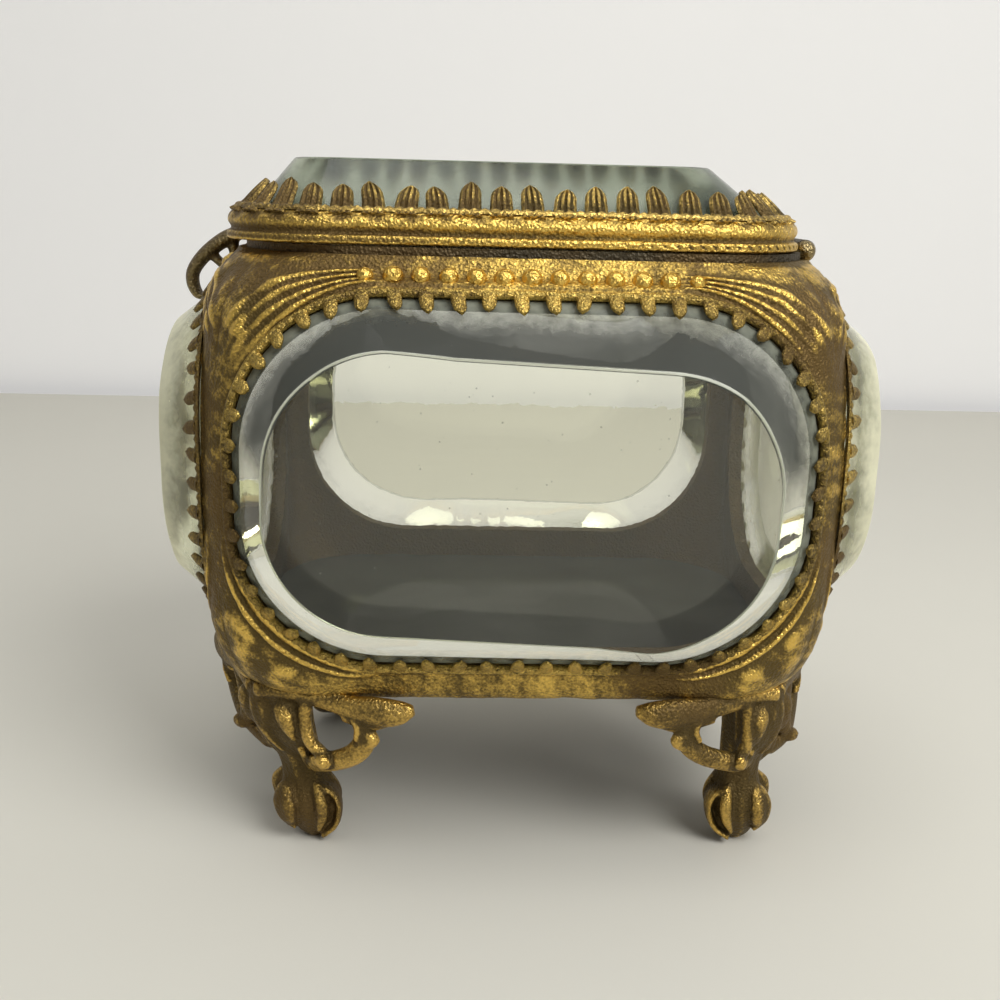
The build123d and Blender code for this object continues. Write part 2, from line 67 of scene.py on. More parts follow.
@dataclass(frozen=True)
class Outline:
    """A rounded rectangle about its centre: half sizes and corner radius."""

    half_x: float
    half_y: float
    radius: float

    def inset(self, distance: float) -> "Outline":
        """The same outline, drawn in by a distance all round."""
        radius = max(self.radius - distance, 0.3 * MM)
        return Outline(self.half_x - distance, self.half_y - distance, radius)

    def length(self) -> float:
        """Length once round."""
        straight = 4 * (self.half_x - self.radius) + 4 * (self.half_y - self.radius)
        return straight + 2 * math.pi * self.radius

    def at(self, run: Array) -> tuple[Array, Array]:
        """Points and inward directions after runs along the outline.

        The outline is four straights, each followed by a quarter arc. On an arc the heading turns by
        run over radius, and the point lies one radius outward of the arc's centre.

        Args:
            run: distances from the start of the lower straight, counter-clockwise.

        Returns:
            Points and unit inward directions, one row for each run.
        """
        flat_x = 2 * (self.half_x - self.radius)
        flat_y = 2 * (self.half_y - self.radius)
        arc = math.pi * self.radius / 2
        lengths = np.array([flat_x, arc, flat_y, arc] * 2)
        ends = np.cumsum(lengths)
        run = np.mod(run, ends[-1])
        leg = np.minimum(np.searchsorted(ends, run, side="right"), 7)
        local = run - (ends - lengths)[leg]
        quarter = leg // 2
        on_arc = leg % 2 == 1
        starts = np.array(
            [
                (-flat_x / 2, -self.half_y),
                (self.half_x, -flat_y / 2),
                (flat_x / 2, self.half_y),
                (-self.half_x, flat_y / 2),
            ]
        )
        base = quarter * math.pi / 2
        along = np.where(on_arc, lengths[quarter * 2], local)
        heading = base + np.where(on_arc, local, 0.0) / self.radius
        ahead0 = np.stack([np.cos(base), np.sin(base)], axis=-1)
        inward0 = np.stack([-np.sin(base), np.cos(base)], axis=-1)
        inward = np.stack([-np.sin(heading), np.cos(heading)], axis=-1)
        points = starts[quarter] + ahead0 * along[:, None] + (inward0 - inward) * self.radius
        return points, inward


def smooth_step(low: float, high: float, value: Array) -> Array:
    """0 below low, 1 above high, and a cubic ease between them."""
    share = np.clip((value - low) / (high - low), 0.0, 1.0)
    return share * share * (3 - 2 * share)


def hump(distance: Array, half_width: Union[float, Array]) -> Array:
    """A rounded ridge: cosine squared of the distance, 1 on the line and 0 at the half width."""
    share = np.clip(np.abs(distance) / half_width, 0.0, 1.0)
    return np.cos(share * math.pi / 2) ** 2


def wander(points: Array, pitch: float, seed: int, waves: int = 9) -> Array:
    """Soft irregular height between about -1 and 1: a sum of sine waves in seeded directions.

    Args:
        points: positions, last axis X, Y, Z.
        pitch: typical wavelength.
        seed: picks the directions and phases.
        waves: number of sine waves.

    Returns:
        One height for each position.
    """
    rng = np.random.default_rng(seed)
    total = np.zeros(points.shape[:-1])
    for _ in range(waves):
        direction = rng.normal(size=3)
        direction /= np.linalg.norm(direction)
        turns = points @ (direction * 2 * math.pi / (pitch * rng.uniform(0.7, 1.5)))
        total += np.sin(turns + rng.uniform(0, 2 * math.pi))
    return total / math.sqrt(waves)


# ---------------------------------------------------------------- meshes


@dataclass
class Surface:
    """A closed grid of points, rows by columns by 3.

    relief is given only where it isn't the height over the smoothed surface, as for the dust, painted shade and painted
    highlight on glass.
    """

    points: Array
    relief: Optional[Array] = None
    close_rows: bool = False
    close_columns: bool = True
    cap_ends: bool = True

    def faces(self, first: int) -> tuple[Array, Array]:
        """Quads between neighbours, and triangle fans that close the ends where they are capped.

        Args:
            first: index of the surface's first vertex in the mesh.

        Returns:
            Quads and triangles as rows of vertex indices.
        """
        rows, columns = self.points.shape[:2]
        index = first + np.arange(rows * columns).reshape(rows, columns)
        if self.close_rows:
            index = np.vstack([index, index[:1]])
        if self.close_columns:
            index = np.hstack([index, index[:, :1]])
        quads = np.stack([index[:-1, :-1], index[1:, :-1], index[1:, 1:], index[:-1, 1:]], axis=-1)
        fans = np.zeros((0, 3), dtype=np.int64)
        if self.cap_ends and not self.close_rows:
            low = first + rows * columns
            ends = [(index[0], low, False), (index[-1], low + 1, True)]
            parts = []
            for ring, centre, turned in ends:
                middle = np.full(len(ring) - 1, centre)
                pair = (ring[1:], ring[:-1]) if turned else (ring[:-1], ring[1:])
                parts.append(np.stack([pair[0], pair[1], middle], axis=-1))
            fans = np.vstack(parts)
        return quads.reshape(-1, 4), fans

    def vertices(self) -> tuple[Array, Array]:
        """All points with their relief, followed by the two end centres where the ends are capped."""
        points = self.points.reshape(-1, 3)
        relief = np.full(len(points), np.nan) if self.relief is None else self.relief.reshape(-1)
        if self.cap_ends and not self.close_rows:
            ends = np.stack([self.points[0].mean(axis=0), self.points[-1].mean(axis=0)])
            points = np.vstack([points, ends])
            relief = np.concatenate([relief, relief[[0, -1]]])
        return points, relief


def relief_of(mesh: bpy.types.Mesh, rounds: int = 14, full: float = 0.11 * MM) -> Array:
    """Relief of every vertex: 0 in hollows, 0.5 on plain surface, 1 on what stands proud.

    The points are averaged with their neighbours a number of rounds; the relief is the height of
    a point over that smoothed surface, along its normal.

    Args:
        mesh: the mesh.
        rounds: rounds of averaging.
        full: height that counts as fully raised.

    Returns:
        One value for each vertex.
    """
    count = len(mesh.vertices)
    points = np.empty(count * 3)
    normals = np.empty(count * 3)
    edges = np.empty(len(mesh.edges) * 2, dtype=np.int32)
    mesh.vertices.foreach_get("co", points)
    mesh.vertices.foreach_get("normal", normals)
    mesh.edges.foreach_get("vertices", edges)
    points, normals, edges = points.reshape(-1, 3), normals.reshape(-1, 3), edges.reshape(-1, 2)
    ends = np.concatenate([edges[:, 0], edges[:, 1]])
    others = np.concatenate([edges[:, 1], edges[:, 0]])
    neighbours = np.maximum(np.bincount(ends, minlength=count), 1)[:, None]
    smoothed = points.copy()
    for _ in range(rounds):
        sums = [np.bincount(ends, weights=smoothed[others, k], minlength=count) for k in range(3)]
        smoothed = 0.3 * smoothed + 0.7 * np.stack(sums, axis=-1) / neighbours
    height = ((points - smoothed) * normals).sum(axis=1)
    return np.clip(0.5 + 0.5 * height / full, 0, 1)


def settled(height: Array, full: float, rounds: int = 10) -> Array:
    """Relief of a grid of heights that closes on itself by rows: 0.5 on plain surface.

    Args:
        height: heights over the plain surface.
        full: height over the surroundings that counts as fully raised.
        rounds: rounds of averaging with the four neighbours.

    Returns:
        The relief, 0 to 1.
    """
    soft = height.copy()
    for _ in range(rounds):
        wide = np.pad(np.pad(soft, ((1, 1), (0, 0)), mode="wrap"), ((0, 0), (1, 1)), mode="edge")
        soft = (wide[2:, 1:-1] + wide[:-2, 1:-1] + wide[1:-1, 2:] + wide[1:-1, :-2]) / 4
    return np.clip(0.5 + 0.5 * (height - soft) / full, 0, 1)


def recast(mesh: bpy.types.Mesh, voxel: float, rounds: int) -> bpy.types.Mesh:
    """Melts the overlapping forms of a mesh into one skin, as in a casting, and softens it.

    Args:
        mesh: closed surfaces that overlap.
        voxel: grain of the new skin.
        rounds: rounds of smoothing.

    Returns:
        The new mesh.
    """
    holder = bpy.data.objects.new("holder", mesh)
    bpy.context.scene.collection.objects.link(holder)
    skin = holder.modifiers.new("skin", "REMESH")
    skin.mode = "VOXEL"
    skin.voxel_size = voxel
    soft = holder.modifiers.new("soft", "SMOOTH")
    soft.factor = 0.5
    soft.iterations = rounds
    graph = bpy.context.evaluated_depsgraph_get()
    made = bpy.data.meshes.new_from_object(holder.evaluated_get(graph))
    bpy.data.objects.remove(holder)
    return made


def stored_volume(points: Array, quads: Array, fans: Array) -> float:
    """Signed volume: a sixth of the sum of triple products over all triangles; positive if outward."""
    triangles = np.vstack([quads[:, [0, 1, 2]], quads[:, [0, 2, 3]], fans])
    a, b, c = (points[triangles[:, k]] for k in range(3))
    return float(np.einsum("ij,ij->i", a, np.cross(b, c)).sum() / 6)


class Piece:
    """One mesh object of the casket, joined from closed surfaces."""

    def __init__(self, name: str) -> None:
        """Starts an empty piece under its name."""
        self.name = name
        self.points: list[Array] = []
        self.relief: list[Array] = []
        self.quads: list[Array] = []
        self.fans: list[Array] = []
        self.count = 0

    def add(self, surface: Surface) -> None:
        """Adds a closed surface, turned outwards if its volume comes out negative."""
        points, relief = surface.vertices()
        quads, fans = surface.faces(0)
        centred = points - points.mean(axis=0)
        if stored_volume(centred, quads, fans) < 0:
            quads = quads[:, ::-1]
            fans = fans[:, ::-1]
        self.points.append(points)
        self.relief.append(relief)
        self.quads.append(quads + self.count)
        self.fans.append(fans + self.count)
        self.count += len(points)

    def build(
        self,
        material: bpy.types.Material,
        body: str,
        slot: str,
        nodes: Sequence[str] = (),
        sharp_degrees: float = 50.0,
        voxel: float = 0.0,
    ) -> bpy.types.Object:
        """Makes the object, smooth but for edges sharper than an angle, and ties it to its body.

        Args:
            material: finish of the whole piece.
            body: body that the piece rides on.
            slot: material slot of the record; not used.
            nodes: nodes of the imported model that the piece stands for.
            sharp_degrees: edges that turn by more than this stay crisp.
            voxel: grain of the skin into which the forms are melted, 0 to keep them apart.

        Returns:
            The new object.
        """
        points = np.vstack(self.points)
        quads = np.vstack(self.quads)
        fans = np.vstack(self.fans)
        mesh = bpy.data.meshes.new(self.name)
        mesh.vertices.add(len(points))
        mesh.vertices.foreach_set("co", points.astype(np.float32).ravel())
        corners = np.concatenate([quads.ravel(), fans.ravel()]).astype(np.int32)
        sizes = np.concatenate([np.full(len(quads), 4), np.full(len(fans), 3)])
        mesh.loops.add(len(corners))
        mesh.loops.foreach_set("vertex_index", corners)
        mesh.polygons.add(len(sizes))
        starts = np.concatenate([[0], np.cumsum(sizes)[:-1]]).astype(np.int32)
        mesh.polygons.foreach_set("loop_start", starts)
        mesh.update(calc_edges=True)
        mesh.validate()
        relief = np.concatenate(self.relief)
        if voxel:
            mesh = recast(mesh, voxel, 6)
            mesh.name = self.name
            relief = np.full(len(mesh.vertices), np.nan)
        mesh.polygons.foreach_set("use_smooth", np.ones(len(mesh.polygons), dtype=bool))
        mesh.set_sharp_from_angle(angle=math.radians(sharp_degrees))
        relief = np.where(np.isnan(relief), relief_of(mesh), relief)
        layer = mesh.attributes.new("relief", "FLOAT", "POINT")
        layer.data.foreach_set("value", relief.astype(np.float32))
        mesh.materials.append(material)
        made = bpy.data.objects.new(self.name, mesh)
        bpy.context.scene.collection.objects.link(made)
        if nodes:
            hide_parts(*nodes)
        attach(made, body)
        log.info("%s: %d vertices, %d faces", self.name, len(mesh.vertices), len(mesh.polygons))
        return made


def swept(
    path: Array,
    across: Array,
    outward: Array,
    half_widths: Array,
    half_heights: Array,
    columns: int = 16,
    fold: float = 0.0,
) -> Surface:
    """Closed leaf or bar: an ellipse carried along a path, with an optional groove down its face.

    A point is path + across * width * cos(a) + outward * height * sin(a), where the height on the
    outer half is lowered near the middle by the fold.

    Args:
        path: centre line, one row for each station.
        across: unit direction of the width, one for all stations or one each.
        outward: unit direction of the height.
        half_widths: half width at each station.
        half_heights: half height at each station.
        columns: points round the section.
        fold: depth of the groove down the face, as a share of the height.

    Returns:
        The closed surface.
    """
    turn = np.linspace(0, 2 * math.pi, columns, endpoint=False)
    cosine, sine = np.cos(turn), np.sin(turn)
    groove = 1 - fold * (sine > 0) * np.exp(-((cosine / 0.28) ** 2))
    across = np.broadcast_to(across, path.shape)
    outward = np.broadcast_to(outward, path.shape)
    points = (
        path[:, None, :]
        + across[:, None, :] * (half_widths[:, None] * cosine)[..., None]
        + outward[:, None, :] * (half_heights[:, None] * sine * groove)[..., None]
    )
    return Surface(points)


def curve_through(points: Array, stations: int) -> Array:
    """Smooth line through a few points: a Catmull-Rom cubic between each pair of neighbours.

    Args:
        points: the points to pass, one row each.
        stations: number of stations on the line.

    Returns:
        The stations, one row each.
    """
    padded = np.vstack([2 * points[0] - points[1], points, 2 * points[-1] - points[-2]])
    place = np.linspace(0, len(points) - 1, stations)
    leg = np.minimum(place.astype(int), len(points) - 2)
    t = (place - leg)[:, None]
    p0, p1, p2, p3 = (padded[leg + k] for k in range(4))
    return 0.5 * (
        2 * p1
        + (p2 - p0) * t
        + (2 * p0 - 5 * p1 + 4 * p2 - p3) * t**2
        + (3 * p1 - p0 - 3 * p2 + p3) * t**3
    )


# ---------------------------------------------------------------- finishes


class Value:
    """A number in a material: wraps a node's socket, and Python operators add Math nodes."""

    def __init__(self, nodes: "Nodes", socket: bpy.types.NodeSocket) -> None:
        """Wraps one output socket of a material's tree."""
        self.nodes = nodes
        self.socket = socket

    def _math(self, operation: str, *values: "Number") -> "Value":
        """Adds a Math node on the given values."""
        inputs = dict(enumerate(values))
        return self.nodes.add("ShaderNodeMath", {"operation": operation}, inputs)

    def __add__(self, other: "Number") -> "Value":
        """Sum."""
        return self._math("ADD", self, other)

    __radd__ = __add__

    def __sub__(self, other: "Number") -> "Value":
        """Difference."""
        return self._math("SUBTRACT", self, other)

    def __rsub__(self, other: "Number") -> "Value":
        """Difference from a plain number."""
        return self._math("SUBTRACT", other, self)

    def __mul__(self, other: "Number") -> "Value":
        """Product."""
        return self._math("MULTIPLY", self, other)

    __rmul__ = __mul__

    def __pow__(self, other: "Number") -> "Value":
        """Power."""
        return self._math("POWER", self, other)

    def between(self, low: float, high: float) -> "Value":
        """0 below low, 1 above high, smooth between them."""
        settings = {"interpolation_type": "SMOOTHSTEP"}
        inputs = {"Value": self, "From Min": low, "From Max": high}
        return self.nodes.add("ShaderNodeMapRange", settings, inputs)


Number = Union[Value, float]


class Nodes:
    """The node tree of one new material."""

    def __init__(self, name: str) -> None:
        """Starts the material with an empty tree and its output."""
        self.material = bpy.data.materials.new(name)
        self.material.use_nodes = True
        self.tree = self.material.node_tree
        self.tree.nodes.clear()
        self.output = self.tree.nodes.new("ShaderNodeOutputMaterial")

    def add(self, kind: str, settings: dict, inputs: dict, output: Union[int, str] = 0) -> Value:
        """Adds a node: its settings first, then the values or links of its sockets.

        Args:
            kind: the node's type.
            settings: properties of the node; a ramp's stops are given as "stops".
            inputs: plain values or Values for its input sockets, by name or number.
            output: the output socket that is wanted.

        Returns:
            The wanted output.
        """
        node = self.tree.nodes.new(kind)
        for key, setting in settings.items():
            setattr(node, key, setting)
        for key, value in inputs.items():
            if isinstance(value, Value):
                self.tree.links.new(value.socket, node.inputs[key])
            else:
                node.inputs[key].default_value = value
        return Value(self, node.outputs[output])

    def place(self) -> Value:
        """Position on the piece, in metres."""
        return self.add("ShaderNodeTexCoord", {}, {}, "Object")

    def noise(self, size: float, detail: float = 3.0, roughness: float = 0.55) -> Value:
        """Soft noise whose blotches are about a given size."""
        inputs = {"Vector": self.place(), "Scale": 1 / size, "Detail": detail, "Roughness": roughness}
        return self.add("ShaderNodeTexNoise", {}, inputs, "Fac")

    def cells(self, size: float) -> Value:
        """Distance from the nearest of scattered points about a given size apart."""
        inputs = {"Vector": self.place(), "Scale": 1 / size}
        return self.add("ShaderNodeTexVoronoi", {"feature": "F1"}, inputs, "Distance")

    def height(self) -> Value:
        """Height on the piece, in metres."""
        return self.add("ShaderNodeSeparateXYZ", {}, {"Vector": self.place()}, "Z")

    def from_middle(self) -> Value:
        """Distance from the middle along the long sides."""
        along = self.add("ShaderNodeSeparateXYZ", {}, {0: self.place()}, "X")
        return self.add("ShaderNodeMath", {"operation": "ABSOLUTE"}, {0: along}, 0)

    def relief(self) -> Value:
        """The piece's own relief: 0 in hollows, 1 on raised parts."""
        return self.add("ShaderNodeAttribute", {"attribute_name": "relief"}, {}, "Fac")

    def mix(self, share: Number, low: Union[Value, Colour], high: Union[Value, Colour]) -> Value:
        """Colour between two colours."""
        inputs = {0: share}
        for key, colour in ((6, low), (7, high)):
            inputs[key] = colour if isinstance(colour, Value) else (*colour, 1.0)
        return self.add("ShaderNodeMix", {"data_type": "RGBA"}, inputs, 2)

    def bump(self, height: Value, distance: float, strength: float) -> Value:
        """Normal that follows a height."""
        inputs = {"Height": height, "Distance": distance, "Strength": strength}
        return self.add("ShaderNodeBump", {}, inputs, "Normal")

    def finish(self, inputs: dict) -> bpy.types.Material:
        """Closes the tree with one Principled shader and returns the material."""
        return self.close(self.add("ShaderNodeBsdfPrincipled", {}, inputs, "BSDF"))

    def close(self, surface: Value, volume: Optional[Value] = None) -> bpy.types.Material:
        """Links the shaders to the output and returns the material."""
        self.tree.links.new(surface.socket, self.output.inputs["Surface"])
        if volume is not None:
            self.tree.links.new(volume.socket, self.output.inputs["Volume"])
        return self.material


@dataclass(frozen=True)
class GiltBrass:
    """Cast brass with old gilding: bright on what stands proud, brown in the hollows, reddish patches."""

    name: str
    gold: Colour = (0.80, 0.535, 0.125)
    shade: Colour = (0.125, 0.083, 0.023)
    rust: Colour = (0.165, 0.10, 0.032)
    kept: float = -0.24
    # painted light: how much brighter the top is and darker the bottom
    painted_top_light: float = 0.22
    painted_top_light_span: Point = (24 * MM, 66 * MM)
    brown_ends: float = 0.30
    ends_span: Point = (12 * MM, 33 * MM)
    grain: float = 0.34 * MM
    stipple: float = 0.16 * MM

    def material(self) -> bpy.types.Material:
        """The finish as a node tree.

        The share of bright gold is the relief plus blotches of three sizes, raised towards the top and
        lowered towards the bottom as painted light from above, and lowered towards the ends; it drives
        the colour, the roughness and how metallic the surface is. Fine cells and noise make the stipple.
        """
        nodes = Nodes(self.name)
        patches = nodes.noise(16 * MM, 2.0)
        blotches = nodes.noise(2.0 * MM, 3.0)
        specks = nodes.noise(0.32 * MM, 2.0)
        worn = (nodes.relief() - 0.5) * 2.0 + (blotches - 0.5) * 0.55 + (specks - 0.5) * 1.3
        # painted light: the gold share rises towards the top and falls towards the bottom, as light falls from above;
        # then it falls towards the ends
        top_light_and_brown_ends = (nodes.height().between(*self.painted_top_light_span) - 0.5) * self.painted_top_light
        top_light_and_brown_ends = top_light_and_brown_ends - (nodes.from_middle().between(*self.ends_span) - 0.25) * self.brown_ends
        bright = (worn + top_light_and_brown_ends + (patches - 0.5) * 1.8 + 0.5 + self.kept).between(-0.1, 1.0)
        reddish = patches.between(0.56, 0.40) * (1 - bright) * 0.6
        colour = nodes.mix(bright, self.shade, self.gold)
        colour = nodes.mix(reddish, colour, self.rust)
        height = nodes.cells(self.grain) * 0.7 + specks * 1.0 + blotches * 0.9
        return nodes.finish(
            {
                "Base Color": colour,
                "Metallic": 0.75 + bright * 0.25,
                "Roughness": 0.52 - bright * 0.20 + (specks - 0.5) * 0.2,
                "Normal": nodes.bump(height, self.stipple, 1.0),
            }
        )


@dataclass(frozen=True)
class CutGlass:
    """Thick old glass with a yellow-green cast that deepens with the path, a film of dust and scuffs, and painted shade
    and highlight where they are set.

    The light that passes falls by e to the power of minus depth times (1 - cast) for each metre.
    """

    name: str
    tint: Colour = (1.0, 1.0, 0.985)
    cast: Colour = (0.80, 0.84, 0.15)
    depth: float = 12.0
    cover_colour: Colour = (0.50, 0.50, 0.42)
    # painted shade: a matt share over the whole pane, used to darken the floor
    even_painted_shade: float = 0.0
    film: float = 0.012
    edge_cover: float = 0.34
    scuffs: float = 0.02 * MM
    rough: float = 0.0
    # painted shade: strength of a dark film over the upper bevel
    painted_bevel_shade: float = 0.0
    painted_shade_colour: Colour = (0.055, 0.058, 0.048)
    painted_shade_span: Point = (44 * MM, 52 * MM)

    def material(self) -> bpy.types.Material:
        """The finish as a node tree.

        A matt shader is mixed over the glass. As dust it is a thin film all over, thicker in soft clouds
        and towards the edge, where the claws keep a cloth away, and a few specks. Over the whole floor
        it is painted shade, at a pane's arris it is also a painted highlight line, and a dark film over
        the upper bevel is painted shade.
        """
        nodes = Nodes(self.name)
        clouds = nodes.noise(9 * MM, 4.0)
        ragged = nodes.noise(1.1 * MM, 4.0)
        by_edge = (nodes.relief() + (ragged - 0.5) * 0.35 + (clouds - 0.5) * 0.35).between(0.45, 1.05)
        specks = nodes.cells(2.6 * MM).between(0.06, 0.03)
        share = clouds.between(0.30, 0.75) * self.film + self.even_painted_shade + by_edge * self.edge_cover + specks * 0.35
        glass = nodes.add(
            "ShaderNodeBsdfPrincipled",
            {},
            {
                "Base Color": (*self.tint, 1.0),
                "Roughness": self.rough,
                "IOR": 1.5,
                "Transmission Weight": 1.0,
                "Normal": nodes.bump(nodes.noise(3 * MM), self.scuffs, 0.4),
            },
            "BSDF",
        )
        # the matt cover: dust, and also painted shade on the floor and a painted highlight at the arris
        matt_cover = {"Base Color": (*self.cover_colour, 1.0), "Roughness": 0.9, "Specular IOR Level": 0.1}
        matt = nodes.add("ShaderNodeBsdfPrincipled", {}, matt_cover, "BSDF")
        surface = nodes.add("ShaderNodeMixShader", {}, {0: share, 1: glass, 2: matt}, 0)
        # painted shade: a dark matt film over the upper part of the bevel, away from the dusty edge
        if self.painted_bevel_shade:
            on_bevel = nodes.relief().between(0.02, 0.12) * (1 - by_edge)
            high = (nodes.height() + (clouds - 0.5) * 12 * MM).between(*self.painted_shade_span)
            painted_shade_finish = {"Base Color": (*self.painted_shade_colour, 1.0), "Roughness": 0.7, "Specular IOR Level": 0.3}
            film = nodes.add("ShaderNodeBsdfPrincipled", {}, painted_shade_finish, "BSDF")
            painted_shade_share = on_bevel * high * (0.75 + clouds * 0.35) * self.painted_bevel_shade
            surface = nodes.add("ShaderNodeMixShader", {}, {0: painted_shade_share, 1: surface, 2: film}, 0)
        inside = nodes.add("ShaderNodeVolumeAbsorption", {}, {"Color": (*self.cast, 1.0), "Density": self.depth}, 0)
        return nodes.close(surface, inside)


# ---------------------------------------------------------------- the body castings


@dataclass(frozen=True)
class BodyShape:
    """The hollow body that the four castings make together."""

    half_length: float = 35.0 * MM
    half_depth: float = 25.75 * MM
    bottom: float = 22.5 * MM
    top: float = 70.0 * MM
    wall: float = 3.2 * MM
    waist_radius: float = 5.0 * MM
    top_radius: float = 16.0 * MM
    bottom_radius: float = 13.0 * MM
    top_flare: float = 2.0
    bottom_flare: float = 2.8
    top_curve: Point = (6.0 * MM, 2.4 * MM)
    top_power: float = 1.5
    bottom_curve: Point = (6.0 * MM, 2.2 * MM)

    def radius(self, z: Array) -> Array:
        """Corner radius in plan: smallest at the waist, growing by a power towards both edges."""
        waist = (self.bottom + self.top) / 2
        end = np.where(z > waist, self.top_radius, self.bottom_radius)
        flare = np.where(z > waist, self.top_flare, self.bottom_flare)
        rise = np.clip(np.abs(z - waist) / (self.top - waist), 0, 1)
        return self.waist_radius + (end - self.waist_radius) * rise**flare

    def lean(self, z: Array) -> Array:
        """How far the face curves in: a sloping shoulder above, a quarter ellipse below."""
        high = np.clip((z - self.top + self.top_curve[0]) / self.top_curve[0], 0, 1)
        low = np.clip((self.bottom + self.bottom_curve[0] - z) / self.bottom_curve[0], 0, 1)
        upper = self.top_curve[1] * high**self.top_power
        return upper + self.bottom_curve[1] * (1 - np.sqrt(1 - low**2))

    def profile(self) -> tuple[Array, Array, Array]:
        """Heights up the face, how far each leans in, and the girth coordinate up the face.

        The girth coordinate equals the height on the straight middle and goes on by arc length over
        the curved edges.
        """
        turn = np.linspace(0, math.pi / 2, 60)
        low_z = self.bottom + self.bottom_curve[0] * (1 - np.sin(turn[::-1]))
        high_z = np.linspace(self.top - self.top_curve[0], self.top, 60)
        z = np.concatenate([low_z, high_z])
        lean = self.lean(z)
        steps = np.hypot(np.diff(z), np.diff(lean))
        girth = np.concatenate([[0.0], np.cumsum(steps)])
        girth += z[len(turn)] - girth[len(turn)]
        return z, lean, girth


BODY = BodyShape()


@dataclass(frozen=True)
class SideView:
    """Where one side of the body lies: its outward and sideways directions and its sizes."""

    name: str
    along: Point
    outward: Point
    half_span: float
    distance: float
    pearls: int

    def world(self, x: Array, out: Array, z: Array) -> Array:
        """World points from sideways, outward and upward coordinates."""
        return np.stack(
            [
                self.along[0] * x + self.outward[0] * out,
                self.along[1] * x + self.outward[1] * out,
                z,
            ],
            axis=-1,
        )

    def on_face(self, w: Array, girth: Array, height: Union[float, Array] = 0.0) -> Array:
        """World points on the outer face, or a height above it.

        Sideways the face is flat up to where the corner's arc starts, and then follows that arc;
        upwards it follows the body's profile.

        Args:
            w: distance from the side's middle, measured round the corner.
            girth: girth coordinate up the face.
            height: distance off the face, along its normal.

        Returns:
            World points.
        """
        zs, leans, girths = BODY.profile()
        z = np.interp(girth, girths, zs)
        lean = np.interp(girth, girths, leans)
        slope_z = np.interp(girth, girths, np.gradient(zs, girths))
        slope_in = np.interp(girth, girths, np.gradient(leans, girths))
        radius = BODY.radius(z)
        flat = self.half_span - lean - radius
        turn = np.clip(np.abs(w) - flat, 0, None) / radius
        sign = np.sign(w)
        x = np.minimum(np.abs(w), flat) + radius * np.sin(turn)
        out = self.distance - lean - radius * (1 - np.cos(turn))
        x = x + height * slope_z * np.sin(turn)
        out = out + height * slope_z * np.cos(turn)
        return self.world(sign * x, out, z + height * slope_in)

    def reach(self, girth: Array) -> Array:
        """Distance round the face from its middle to the mitre at the corner."""
        zs, leans, girths = BODY.profile()
        z = np.interp(girth, girths, zs)
        lean = np.interp(girth, girths, leans)
        return self.half_span - lean - BODY.radius(z) * (1 - math.pi / 4)

    def inside(self, w: Array, girth: Array) -> Array:
        """World points on the inner face of the casting, behind a point of the outer one."""
        zs, leans, girths = BODY.profile()
        z = np.interp(girth, girths, zs)
        lean = np.interp(girth, girths, leans)
        radius = BODY.radius(z)
        flat = self.half_span - lean - radius
        turn = np.clip(np.abs(w) - flat, 0, None) / radius
        inner = radius - BODY.wall + lean
        x = np.minimum(np.abs(w), flat) + inner * np.sin(turn)
        out = self.distance - BODY.wall - inner * (1 - np.cos(turn))
        return self.world(np.sign(w) * x, out, z)


SIDES = (
    SideView("front", (1, 0), (0, -1), BODY.half_length, BODY.half_depth, 13),
    SideView("rear", (-1, 0), (0, 1), BODY.half_length, BODY.half_depth, 13),
    SideView("left", (0, -1), (-1, 0), BODY.half_depth, BODY.half_length, 7),
    SideView("right", (0, 1), (1, 0), BODY.half_depth, BODY.half_length, 7),
)


@dataclass(frozen=True)
class Window:
    """The glazed opening of a side, with its rebate and claws."""

    side: SideView
    post: float = 3.9 * MM
    low: float = 26.0 * MM
    high: float = 66.0 * MM
    radius: float = 16.2 * MM
    rebate: float = 1.4 * MM
    flange: float = 2.1 * MM
    rise: float = 5.7 * MM
    bevel: float = 4.8 * MM
    pane_edge: float = 1.2 * MM
    pane_gap: float = 0.15 * MM

    def outline(self) -> Outline:
        """Visible edge of the opening."""
        return Outline(self.side.half_span - self.post, (self.high - self.low) / 2, self.radius)

    def middle(self) -> float:
        """Height of the opening's middle."""
        return (self.low + self.high) / 2


